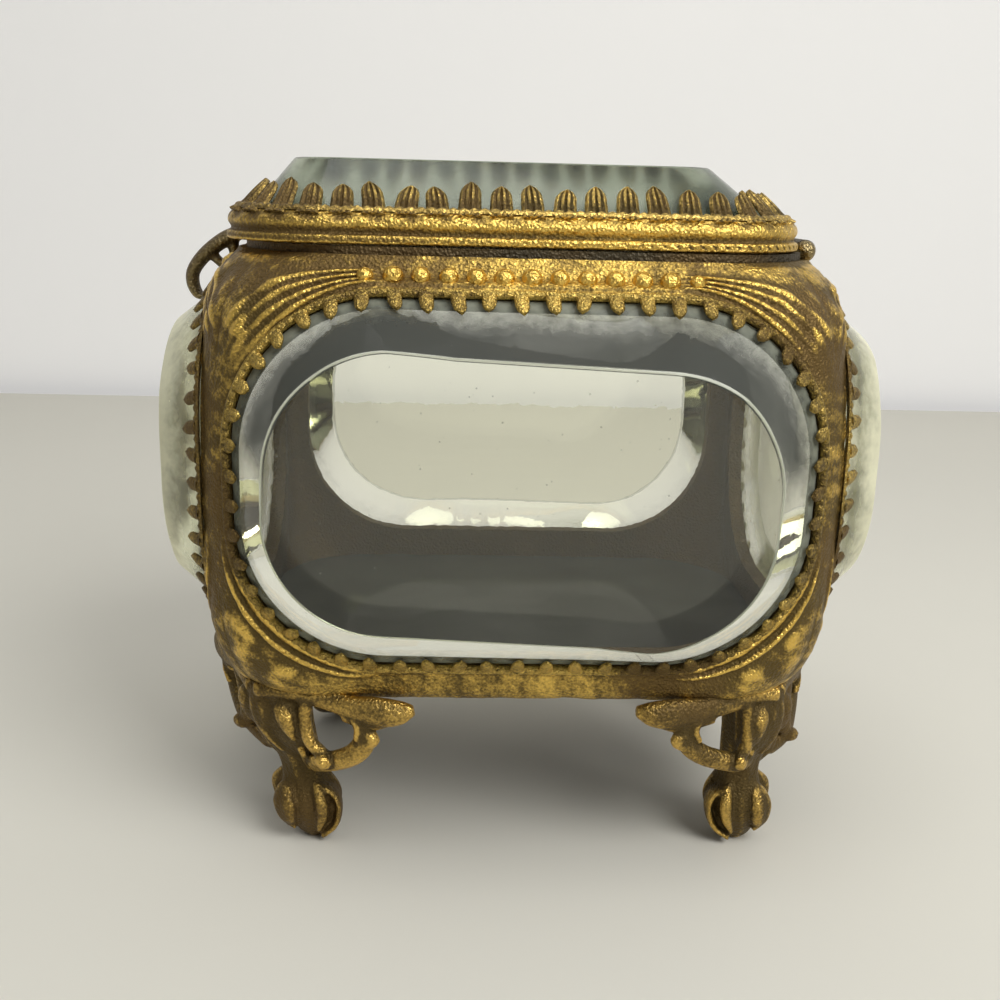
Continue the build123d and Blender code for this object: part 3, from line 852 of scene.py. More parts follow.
@dataclass(frozen=True)
class SideFrame:
    """Casting of one side: ribs and a leaf of lobes round each window corner, pearls on the rail."""

    window: Window
    straight_step: float = 0.30 * MM
    arc_steps: int = 84
    across_steps: int = 46
    rib_height: float = 0.40 * MM
    lobe_height: float = 0.48 * MM
    pearl_radius: float = 1.05 * MM
    pearl_pitch: float = 2.84 * MM
    pearl_drop: float = 2.0 * MM
    notch_half: float = 11.5 * MM
    notch_floor: float = 69.35 * MM

    def ring(self) -> tuple[Array, Array, Array, Array]:
        """Stations round the window.

        Each quarter runs from the middle of a straight, over the corner arc, to the middle of the
        next straight. The ray from a station leaves square to the window's edge and ends on the
        casting's own edge; the ray that meets the casting's corner is always among them.

        Returns:
            Edge points, outward directions, ray lengths, and the angle on the corner arc measured
            from the horizontal straights (0) to the posts (a quarter turn).
        """
        outline = self.window.outline()
        flat_x = outline.half_x - outline.radius
        flat_z = outline.half_y - outline.radius
        middle = self.window.middle()
        edge, direction, length, angle = [], [], [], []
        girth = BODY.profile()[2]
        for sign_x, sign_z in ((1, 1), (1, -1), (-1, -1), (-1, 1)):
            end = girth[-1] if sign_z > 0 else girth[0]
            room_z = abs(end - middle) - flat_z
            room_x = float(self.window.side.reach(np.array([end]))[0]) - flat_x
            corner = math.atan2(room_x, room_z)
            first = np.linspace(0, corner, self.arc_steps // 2, endpoint=False)
            second = np.linspace(corner, math.pi / 2, self.arc_steps // 2 + 1)
            arc = np.concatenate([first, second])
            steps_x = max(int(flat_x / self.straight_step), 2)
            steps_z = max(int(flat_z / self.straight_step), 2)
            turn = np.concatenate([np.zeros(steps_x), arc, np.full(steps_z - 1, math.pi / 2)])
            x = np.concatenate([np.linspace(0, flat_x, steps_x, endpoint=False), np.full(len(arc) + steps_z - 1, flat_x)])
            z = np.concatenate([np.full(steps_x + len(arc), flat_z), np.linspace(flat_z, 0, steps_z)[1:]])
            d = np.stack([np.sin(turn), np.cos(turn)], axis=-1)
            start = np.stack([x, z], axis=-1) + d * outline.radius
            to_rail = (room_z - 0.0) / np.maximum(d[:, 1], 1e-6) - outline.radius
            to_post = np.full(len(turn), 3 * MM)
            for _ in range(60):
                height = middle + sign_z * (start[:, 1] + d[:, 1] * to_post)
                limit = self.window.side.reach(np.clip(height, girth[0], girth[-1]))
                better = np.where(d[:, 0] > 1e-3, (limit - start[:, 0]) / np.maximum(d[:, 0], 1e-3), 1.0)
                to_post = 0.6 * to_post + 0.4 * better
            reach = np.where(turn <= corner, to_rail, np.minimum(to_post, to_rail))
            flip = sign_x * sign_z < 0
            parts = [start * (sign_x, sign_z), d * (sign_x, sign_z), reach, turn]
            if flip:
                parts = [p[::-1] for p in parts]
            keep = slice(0, -1)
            edge.append(parts[0][keep])
            direction.append(parts[1][keep])
            length.append(parts[2][keep])
            angle.append(parts[3][keep])
        return np.vstack(edge), np.vstack(direction), np.concatenate(length), np.concatenate(angle)

    def strands(self, share: Array, offset: Array, upper: Array) -> Array:
        """Height of the ribs that run round a window corner.

        Above, four strands leave the rail close together, spread like a fan over the first half of
        the arc and sink into the leaf. Below, two wide strands follow the whole arc.

        Args:
            share: share of the corner's arc, 0 at the rail to 1 at the post.
            offset: distance out from the window's edge.
            upper: 1 above the window's middle, 0 below.

        Returns:
            Heights in metres.
        """
        fan = smooth_step(0.0, 0.55, share)
        height = np.zeros_like(offset)
        fade = smooth_step(0.0, 0.10, share) * (1 - smooth_step(0.35, 0.72, share)) * upper
        for k in range(4):
            line = (1.55 + 0.42 * k + fan * (0.80 * k - 0.25)) * MM
            height += self.rib_height * hump(offset - line, (0.30 + 0.38 * fan) * MM) * fade * (1 - 0.1 * k)
        low_fade = smooth_step(0.0, 0.2, share) * (1 - smooth_step(0.75, 1.0, share)) * (1 - upper)
        for k in range(2):
            line = (0.95 + 1.35 * k * np.sin(math.pi * share) ** 0.7) * MM
            height += self.rib_height * hump(offset - line, (0.62 - 0.1 * k) * MM) * low_fade
        return height

    def chasing(self, angle: Array, offset: Array, reach: Array, girth: Array) -> Array:
        """Height of the ornament over the plain casting.

        Strands beside the window's corners, a swelling leaf between them and the casting's corner,
        a fillet round the window, and nothing at the casting's top and bottom edges.

        Args:
            angle: angle on the corner arc, 0 at the rails to a quarter turn at the posts.
            offset: distance out from the window's edge.
            reach: distance from the window's edge to the casting's edge.
            girth: girth coordinate up the face.

        Returns:
            Heights in metres.
        """
        share = angle / (math.pi / 2)
        upper = smooth_step(-2 * MM, 2 * MM, girth - self.window.middle())
        height = self.strands(share, offset, upper)
        room = smooth_step(3.8 * MM, 6.5 * MM, reach) * smooth_step(0.12, 0.4, share)
        place = offset / reach
        leaf = hump(place - 0.78, 0.55)
        veins = np.cos(2 * math.pi * (share * 4.5 + place * 0.8)) * hump(place - 0.6, 0.42)
        height += self.lobe_height * (leaf + 0.22 * veins) * room
        buds = hump(place - 0.50, 0.16) * np.clip(np.cos(2 * math.pi * share * 5.5), 0, 1)
        height += 0.20 * MM * buds * room
        ends = BODY.profile()[2][[0, -1]]
        height *= smooth_step(0.0, 0.9 * MM, girth - ends[0]) * smooth_step(0.0, 0.9 * MM, ends[1] - girth)
        height += 0.20 * MM * hump(offset - 0.55 * MM, 0.5 * MM)
        return height

    def casting(self) -> Surface:
        """The casting as one closed ring: chased face, edges, inner face, flange and rebate."""
        side = self.window.side
        edge, direction, reach, angle = self.ring()
        middle = self.window.middle()
        share = np.linspace(0, 1, self.across_steps)[None, :]
        offset = reach[:, None] * share
        w = edge[:, :1] + direction[:, :1] * offset
        girth = middle + edge[:, 1:] + direction[:, 1:] * offset
        height = self.chasing(angle[:, None], offset, reach[:, None], girth)
        plain = side.on_face(w, girth)
        rough = 0.05 * wander(plain, 4 * MM, 5) + 0.022 * wander(plain, 1.3 * MM, 9)
        height = height + MM * rough * smooth_step(0, 0.6 * MM, offset)
        shown = settled(height, 0.12 * MM)
        near = 1 - smooth_step(0.8 * MM, 2.4 * MM, offset)
        below = smooth_step(2 * MM, 6 * MM, self.window.middle() - girth)
        height = height + BODY.lean(plain[..., 2]) * np.maximum(near, 0.62 * below)
        face = side.on_face(w, girth, height)
        inner_share = np.linspace(1, 0, 6)[None, :]
        inner_offset = -self.window.flange + (reach[:, None] + self.window.flange) * inner_share
        inner_w = edge[:, :1] + direction[:, :1] * inner_offset
        inner_girth = middle + edge[:, 1:] + direction[:, 1:] * inner_offset
        inner = side.inside(inner_w, inner_girth)
        x = edge[:, 0] - direction[:, 0] * self.window.flange
        z = middle + edge[:, 1] - direction[:, 1] * self.window.flange
        out = np.full(len(x), side.distance - self.window.rebate)
        lip = side.world(x, out, z)[:, None, :]
        seat = side.world(edge[:, 0], out, middle + edge[:, 1])[:, None, :]
        points = np.concatenate([face, inner, lip, seat], axis=1)
        if side.name == "right":
            in_notch = np.abs(points[..., 1]) < self.notch_half
            low = np.minimum(points[..., 2], self.notch_floor)
            points[..., 2] = np.where(in_notch, low, points[..., 2])
        behind = np.zeros((len(x), inner.shape[1] + 2)) + np.array([0.0] * inner.shape[1] + [0.3, 0.3])
        return Surface(points, np.hstack([shown, behind]), close_rows=True)

    def pearl(self, centre: Array, size: float) -> Surface:
        """One pearl about a centre, its poles sideways, with its radius times size."""
        rows = np.linspace(0.06, 0.94, 12) * math.pi
        columns = np.linspace(0, 2 * math.pi, 20, endpoint=False)
        x = np.cos(rows)[:, None] * np.ones(20)
        y = np.sin(rows)[:, None] * np.cos(columns)
        z = np.sin(rows)[:, None] * np.sin(columns)
        ball = np.stack([x, y, z], axis=-1) * self.pearl_radius * size
        return Surface(ball + centre)

    def build(self, material: bpy.types.Material) -> None:
        """Makes the casting and its row of pearls."""
        side = self.window.side
        casting = Piece(f"{side.name}_casting")
        casting.add(self.casting())
        casting.build(material, CASKET, "gilt_brass", [f"{side.name}_side_frame"])
        pearls = Piece(f"{side.name}_pearls")
        z = BODY.top - self.pearl_drop
        lean = float(BODY.lean(np.array([z]))[0])
        places = (np.arange(side.pearls) - (side.pearls - 1) / 2) * self.pearl_pitch
        for k, place in enumerate(places):
            out = side.distance - lean + 0.12 * MM
            shift = 0.05 * MM * math.sin(7.3 * k)
            centre = side.world(np.array(place), np.array(out), np.array(z + shift))
            size = 1.0 if 0 < k < side.pearls - 1 else 0.8
            pearls.add(self.pearl(centre, size * (1 + 0.05 * math.cos(5.1 * k))))
        pearls.build(material, CASKET, "gilt_brass")


# ---------------------------------------------------------------- claws and panes


@dataclass(frozen=True)
class Claws:
    """A ring of claws bent over a bevelled edge.

    The bevel rises by rise over run inward. Each claw starts on the ring and lies on the bevel.
    """

    outline: Outline
    pitch: float
    width: float
    length: float
    run: float
    rise: float
    glass_start: float
    ribs: int
    ring_width: float = 1.0 * MM
    ring_height: float = 0.5 * MM
    gap: float = 0.12 * MM
    thickness: float = 0.62 * MM
    rib_depth: float = 0.34
    rows: int = 11
    columns: int = 18
    uneven: float = 0.12
    side_share: float = 1.0
    taper: float = 0.5
    root: Point = (-0.55 * MM, 0.28 * MM)

    def surfaces(self, place: Callable[[Array, Array], Array]) -> list[Surface]:
        """All claws and the ring under them.

        Args:
            place: maps outline points and heights off its plane to world points.

        Returns:
            Closed surfaces.
        """
        rng = np.random.default_rng(11)
        count = round(self.outline.length() / self.pitch)
        made = [self.ring(place)]
        slope = math.hypot(self.run, self.rise)
        along = (self.run / slope, self.rise / slope)
        for k in range(count):
            long = self.length * (1 + self.uneven * rng.uniform(-1, 1))
            lean = rng.uniform(-0.18, 0.18)
            run = (k + 0.5) * self.outline.length() / count
            point, inward = self.outline.at(np.array([run]))
            point, inward = point[0], inward[0]
            long *= 1 - (1 - self.side_share) * inward[0] ** 2
            side = np.array([inward[1], -inward[0]])
            t = np.linspace(0, 1, self.rows)
            start = self.glass_start - (self.gap + self.thickness / 2) / along[1]
            inn = np.interp(t, [0, 0.22, 1], [self.root[0], start, start + along[0] * long])
            up = np.interp(t, [0, 0.22, 1], [self.root[1], self.thickness * 0.35, along[1] * long])
            up = up + 0.10 * MM * np.sin(math.pi * t)
            wide = self.width / 2 * np.sqrt(np.clip(1 - (np.clip(t - self.taper, 0, 1) / (1.005 - self.taper)) ** 2, 0.02, 1))
            wide = wide * (1.12 - 0.2 * t)
            turn = np.linspace(0, 2 * math.pi, self.columns, endpoint=False)
            cosine, sine = np.cos(turn), np.sin(turn)
            ribbed = np.cos(math.pi * (self.ribs * cosine + self.ribs + 1))
            flute = 1 + self.rib_depth * (sine > 0) * ribbed * (self.ribs > 1)
            thick = self.thickness / 2 * (1 - 0.35 * t**3)
            sideways = wide[:, None] * cosine + (lean * long * t**2)[:, None]
            lift = thick[:, None] * sine * flute
            inn2 = inn[:, None] - lift * along[1]
            up2 = up[:, None] + lift * along[0]
            plan = point + inn2[..., None] * inward + sideways[..., None] * side
            made.append(Surface(place(plan, up2)))
        return made

    def ring(self, place: Callable[[Array, Array], Array]) -> Surface:
        """Half-round fillet on which the claws stand, with small teeth between them."""
        steps = round(self.outline.length() / (0.28 * MM))
        run = np.linspace(0, self.outline.length(), steps, endpoint=False)
        points, inward = self.outline.at(run)
        turn = np.linspace(0, math.pi, 8)
        teeth = 1 + 0.22 * np.cos(run / self.pitch * 6 * math.pi)
        out = self.ring_width / 2 * (1 + np.cos(turn))
        up = self.ring_height * np.sin(turn)
        plan = points[:, None, :] - inward[:, None, :] * out[None, :, None]
        height = up[None, :] * teeth[:, None]
        return Surface(place(plan, height), close_rows=True)


@dataclass(frozen=True)
class Pane:
    """A thick pane with a hand-cut bevel: its flat is a little off centre, turned, and rounder.

    outline is the pane's edge; the flat's outline is inset by the bevel, moved by shift, turned by
    turn_degrees, and its corners are rounder by extra_round.
    """

    outline: Outline
    edge: float
    rise: float
    bevel: float
    shift: Point
    turn_degrees: float
    extra_round: float
    grow: Point = (0.0, 0.0)
    kinks: tuple[tuple[float, float, float], ...] = ()
    bevel_dust: float = 0.0
    arris: float = 0.14 * MM
    arris_dust_and_highlight: float = 0.15
    frost: float = 0.35
    steps: int = 240

    def surface(self, place: Callable[[Array, Array], Array]) -> Surface:
        """The pane as one closed solid: back, straight edge, bevel and flat."""
        share = np.linspace(0, 1, self.steps, endpoint=False)
        edge, _ = self.outline.at(share * self.outline.length())
        inner = self.outline.inset(self.bevel)
        half_x, half_y = inner.half_x + self.grow[0], inner.half_y + self.grow[1]
        inner = Outline(half_x, half_y, min(inner.radius + self.extra_round, half_y - 0.2 * MM))
        flat, _ = self.matched(inner, share)
        turn = math.radians(self.turn_degrees)
        rotated = np.stack(
            [
                flat[:, 0] * math.cos(turn) - flat[:, 1] * math.sin(turn) + self.shift[0],
                flat[:, 0] * math.sin(turn) + flat[:, 1] * math.cos(turn) + self.shift[1],
            ],
            axis=-1,
        )
        bearing = np.degrees(np.arctan2(rotated[:, 1], rotated[:, 0]))
        for place_degrees, size, half in self.kinks:
            away = np.abs((bearing - place_degrees + 180) % 360 - 180) / half
            rotated = rotated * (1 + size * np.clip(1 - away, 0, 1) / np.linalg.norm(rotated, axis=1))[:, None]
        top = self.edge + self.rise
        before = rotated + (edge - rotated) * self.arris / self.bevel
        clean = rotated + (edge - rotated) * self.arris * 2 / self.bevel
        dusty = edge + (rotated - edge) * 0.42
        rings = [
            (edge * 0.5, 0.0, 0.0),
            (edge * 0.99, 0.0, 0.0),
            (edge, 0.0, 1.0),
            (edge, self.edge, 1.0),
            (dusty, self.edge + 0.42 * (self.rise - self.arris * 0.2), max(self.frost, self.bevel_dust * 0.6)),
            (clean, top - self.arris * 1.6, max(0.15, self.bevel_dust)),
            # the arris and the flat's edge take matt cover: partly dust, partly a painted highlight line along the
            # arris
            (before, top - self.arris * 0.6, max(self.arris_dust_and_highlight, self.bevel_dust)),
            (rotated, top, max(self.arris_dust_and_highlight, self.bevel_dust * 0.6)),
            (rotated * 0.99, top, self.bevel_dust * 0.4),
            (rotated * 0.5, top, 0.0),
        ]
        points = np.stack([place(plan, np.full(self.steps, height)) for plan, height, _ in rings])
        dust = np.array([share for _, _, share in rings])[:, None] * np.ones(self.steps)
        return Surface(points, dust)

    def matched(self, inner: Outline, share: Array) -> tuple[Array, Array]:
        """Stations of the flat's outline that lie across from those of the pane's edge.

        Both outlines are cut into the same eight legs, four straights and four arcs, and a station
        keeps its share of its leg.
        """
        def legs(outline: Outline) -> Array:
            flat_x = 2 * (outline.half_x - outline.radius)
            flat_y = 2 * (outline.half_y - outline.radius)
            arc = math.pi * outline.radius / 2
            return np.concatenate([[0.0], np.cumsum([flat_x, arc, flat_y, arc] * 2)])

        return inner.at(np.interp(share * self.outline.length(), legs(self.outline), legs(inner)))


@dataclass(frozen=True)
class Glazing:
    """Pane and claws of one window."""

    window: Window

    def place(self, depth: float) -> Callable[[Array, Array], Array]:
        """Maps points in the window's plane, and heights off a depth behind the face, to the world."""
        side = self.window.side

        def mapped(plan: Array, up: Array) -> Array:
            return side.world(plan[..., 0], side.distance - depth + up, self.window.middle() + plan[..., 1])

        return mapped

    def build(self, metal: bpy.types.Material, glass: bpy.types.Material) -> None:
        """Makes the pane and the claw strip."""
        w = self.window
        bevel_rise = w.rebate + w.rise - w.pane_edge
        claws = Claws(
            outline=w.outline(),
            pitch=3.2 * MM,
            width=1.5 * MM,
            length=2.35 * MM,
            run=w.bevel,
            rise=bevel_rise,
            glass_start=w.pane_gap + (w.rebate - w.pane_edge) * w.bevel / bevel_rise,
            ribs=1,
            columns=16,
            thickness=0.76 * MM,
            taper=0.62,
            side_share=0.72 if w.side.name in ("front", "rear") else 1.0,
        )
        strip = Piece(f"{w.side.name}_claws")
        for surface in claws.surfaces(self.place(0.0)):
            strip.add(surface)
        strip.build(metal, CASKET, "claw_brass", [f"{w.side.name}_claw_strip"])
        turned = {"front": -2.6, "rear": 1.1, "left": 0.8, "right": -0.9}[w.side.name]
        at_end = w.side.name in ("left", "right")
        pane = Pane(
            outline=w.outline().inset(w.pane_gap),
            edge=w.pane_edge,
            rise=bevel_rise,
            bevel=w.bevel,
            shift=(-0.6 * MM, -0.45 * MM) if w.side.name == "front" else (-0.2 * MM, 0.1 * MM),
            grow=(0.3 * MM, -0.4 * MM) if w.side.name == "front" else (0.0, 0.0),
            turn_degrees=turned,
            extra_round=1.3 * MM,
            kinks=((134.0, 0.45 * MM, 16.0), (-50.5, 0.45 * MM, 14.0), (28.0, 0.25 * MM, 12.0)),
            bevel_dust=1.0 if at_end else 0.0,
            # arris fully under matt cover: partly dust, partly a painted highlight line
            arris_dust_and_highlight=1.1,
            frost=0.62,
        )
        solid = Piece(f"{w.side.name}_pane")
        solid.add(pane.surface(self.place(w.rebate)))
        solid.build(glass, CASKET, "pane_glass", [f"{w.side.name}_glass"], sharp_degrees=18)


# ---------------------------------------------------------------- the lid


@dataclass(frozen=True)
class LidDressing:
    """Band, claws and pane of the lid."""

    left: float = -33.4 * MM
    right: float = 30.6 * MM
    half_depth: float = 22.5 * MM
    corner: float = 12.0 * MM
    bottom: float = 71.0 * MM
    lip_height: float = 0.9 * MM
    cove_height: float = 0.6 * MM
    cove_step: float = 0.5 * MM
    band_height: float = 3.3 * MM
    band_lean: float = 0.4 * MM
    band_wall: float = 1.0 * MM
    seat_height: float = 1.4 * MM
    seat_width: float = 2.1 * MM
    pane_edge: float = 1.0 * MM
    pane_gap: float = 0.15 * MM
    rise: float = 6.3 * MM
    bevel: float = 5.3 * MM
    leaf_half: float = 6.85 * MM

    def outline(self) -> Outline:
        """Plan of the lip about the lid's middle."""
        return Outline((self.right - self.left) / 2, self.half_depth, self.corner)

    def seat_inset(self) -> float:
        """Inset of the opening in the band."""
        return self.cove_step + self.band_lean + self.band_wall

    def place(self, height: float) -> Callable[[Array, Array], Array]:
        """Maps plan points about the lid's middle, and heights off a level, to the world."""
        middle = (self.left + self.right) / 2

        def mapped(plan: Array, up: Array) -> Array:
            return np.stack([plan[..., 0] + middle, plan[..., 1], up + height], axis=-1)

        return mapped

    def band(self) -> Surface:
        """The band as a profile carried along the lip's outline.

        The profile is the lip, a cove, a swelling band and the seat. Nicks cross the lip where the
        milling has not worn away, towards the hinge, and the band's top is scalloped under the claws.
        """
        outline = self.outline()
        steps = round(outline.length() / (0.22 * MM))
        run = np.linspace(0, outline.length(), steps, endpoint=False)
        points, inward = outline.at(run)
        wall = self.seat_inset()
        knots = np.array(
            [
                (0.25, 0.0), (0.06, 0.12), (0.0, 0.35), (0.0, 0.62), (0.10, 0.85), (0.42, 1.02), (0.50, 1.2),
                (0.40, 1.45), (0.20, 1.8), (0.16, 2.2), (0.30, 2.6), (0.62, 2.95), (0.95, 3.2), (1.4, 3.3),
            ]
        ) * MM
        fine = curve_through(knots, 40)
        fine[:, 0] = np.maximum(fine[:, 0], 0)
        tail = np.array([(wall, 3.3 * MM), (wall, self.seat_height), (wall + self.seat_width, self.seat_height), (wall + self.seat_width, 0.0)])
        profile = np.vstack([fine, tail])
        depth = np.broadcast_to(profile[:, 0], (steps, len(profile))).copy()
        height = np.broadcast_to(profile[:, 1], depth.shape)
        on_lip = hump(height - 0.5 * MM, 0.5 * MM) * (np.arange(len(profile)) < 40)
        milled = smooth_step(8 * MM, 20 * MM, points[:, 0])[:, None]
        nick = np.clip(np.cos((run[:, None] + 0.9 * height) * 2 * math.pi / (1.32 * MM)) * 3 - 2, 0, 1)
        depth = depth + 0.16 * MM * on_lip * nick * (0.15 + 0.85 * milled)
        on_band = hump(height - 2.7 * MM, 0.8 * MM) * (np.arange(len(profile)) < 40)
        count = round(outline.inset(wall).length() / (3.3 * MM))
        scallop = np.cos(run / outline.length() * count * 2 * math.pi + math.pi)
        depth = depth + 0.10 * MM * on_band * (1 + scallop[:, None])
        plan = points[:, None, :] + inward[:, None, :] * depth[..., None]
        world = self.place(self.bottom)(plan, height)
        return Surface(world, close_rows=True)

    def build(self, metal: bpy.types.Material, claw_metal: bpy.types.Material, glass: bpy.types.Material) -> None:
        """Makes the band, the claws and the pane."""
        band = Piece("lid_band")
        band.add(self.band())
        band.build(metal, LID, "gilt_brass", ["lid_frame"])
        opening = self.outline().inset(self.seat_inset())
        over_edge = self.band_height - self.seat_height - self.pane_edge
        claws = Claws(
            outline=opening,
            pitch=3.3 * MM,
            width=2.3 * MM,
            length=3.6 * MM,
            run=self.bevel,
            rise=self.rise,
            glass_start=self.pane_gap + over_edge * self.bevel / self.rise,
            ribs=4,
            columns=36,
            thickness=0.8 * MM,
            taper=0.66,
            root=(-1.2 * MM, -0.35 * MM),
        )
        ring = Piece("lid_claws")
        for surface in claws.surfaces(self.place(self.bottom + self.band_height)):
            ring.add(surface)
        ring.build(claw_metal, LID, "claw_brass", ["lid_claw_strip"])
        pane = Pane(
            outline=opening.inset(self.pane_gap),
            edge=self.pane_edge,
            rise=self.rise,
            bevel=self.bevel,
            shift=(-1.5 * MM, 0.1 * MM),
            grow=(-1.7 * MM, 0.0),
            kinks=((-139.0, 0.3 * MM, 10.0),),
            turn_degrees=0.6,
            extra_round=0.6 * MM,
        )
        solid = Piece("lid_pane")
        solid.add(pane.surface(self.place(self.bottom + self.seat_height)))
        solid.build(glass, LID, "pane_glass", ["lid_glass"], sharp_degrees=18)


# ---------------------------------------------------------------- the feet


@dataclass(frozen=True)
class Stroke:
    """A rounded form of a cast foot.

    points are (run from the corner, height, lift off the wing's plane) in millimetres, widths the
    half widths across the stroke, and thick its half thickness.
    """

    points: tuple[tuple[float, float, float], ...]
    widths: tuple[float, ...]
    thick: float


WING = (
    Stroke(((4.8, 21.0, -0.9), (8.0, 21.3, -0.5), (12.0, 21.2, 0.0), (15.5, 21.0, 0.2)), (0.9, 1.1, 1.15, 1.2), 1.0),
    Stroke(
        ((12.0, 20.9, 0.1), (15.2, 20.5, 0.7), (18.6, 20.3, 1.1), (21.2, 20.3, 1.0), (23.2, 20.5, 0.4)),
        (1.0, 1.1, 1.5, 1.8, 1.7, 1.35, 0.6),
        1.15,
    ),
    Stroke(((15.0, 19.6, 0.4), (18.0, 18.9, 0.7), (20.8, 18.6, 0.4)), (1.1, 1.2, 0.9, 0.15), 0.95),
    Stroke(
        ((15.6, 20.4, 0.0), (17.1, 18.6, 0.3), (17.2, 16.2, 0.3), (15.8, 14.3, 0.1), (13.6, 13.1, -0.3),
         (11.7, 12.2, -1.2), (10.0, 11.2, -2.6)),
        (1.0, 1.25, 1.3, 1.25, 1.2, 1.2, 1.1),
        1.05,
    ),
    Stroke(((15.9, 20.0, 1.2), (16.6, 18.2, 1.3), (16.2, 16.5, 1.1)), (0.3, 0.45, 0.3), 0.5),
    Stroke(((17.0, 17.8, 0.7), (18.1, 16.7, 0.7), (17.0, 15.6, 0.6)), (0.6, 0.95, 0.6), 0.8),
    Stroke(((11.0, 21.0, -0.2), (10.4, 18.3, -0.4), (10.7, 15.4, -0.4), (12.2, 13.6, -0.3)), (0.9, 0.85, 0.85, 0.8), 1.0),
    Stroke(((8.3, 21.6, -1.5), (8.4, 18.0, -1.5), (8.9, 15.0, -1.9), (9.2, 12.4, -3.3)), (2.6, 2.5, 2.2, 1.4), 1.3),
    Stroke(((11.2, 13.2, 0.3), (12.1, 13.2, 0.5), (12.9, 12.8, 0.3)), (0.5, 1.05, 0.5), 1.05),
)
COLUMN = (
    Stroke(((7.4, 20.3, -0.7), (8.1, 18.2, -0.1), (8.8, 15.0, -0.6)), (0.3, 1.0, 1.15, 0.9, 0.2), 0.9),
    Stroke(((4.9, 21.3, -1.3), (4.6, 18.4, -1.6), (5.4, 15.4, -1.9), (7.0, 12.6, -2.4)), (0.6, 0.8, 0.7, 0.15), 0.8),
    Stroke(((9.3, 13.8, -1.4), (9.7, 11.6, -2.7), (9.7, 9.6, -4.2)), (0.45, 0.6, 0.35), 0.7),
)
TOE = (
    Stroke(((7.6, 8.6, -4.2), (6.2, 6.6, -3.4), (6.1, 4.2, -3.3), (7.2, 1.8, -3.6)), (0.3, 0.9, 1.2, 1.0, 0.2), 1.05),
    Stroke(((9.7, 8.4, -4.2), (10.6, 6.4, -3.0), (10.6, 4.2, -3.1), (9.9, 1.6, -3.6)), (0.3, 0.7, 0.8, 0.7, 0.2), 0.8),
    Stroke(((10.3, 7.8, -4.8), (12.0, 6.6, -5.0), (12.6, 4.8, -5.0), (12.0, 2.4, -5.0), (10.2, 0.8, -5.0)),
           (0.5, 0.45, 0.42, 0.45, 0.5), 1.6),
    Stroke(((10.0, 8.0, -6.6), (11.4, 5.6, -6.6), (10.5, 2.4, -6.6)), (1.4, 1.5, 1.3), 1.3),
)


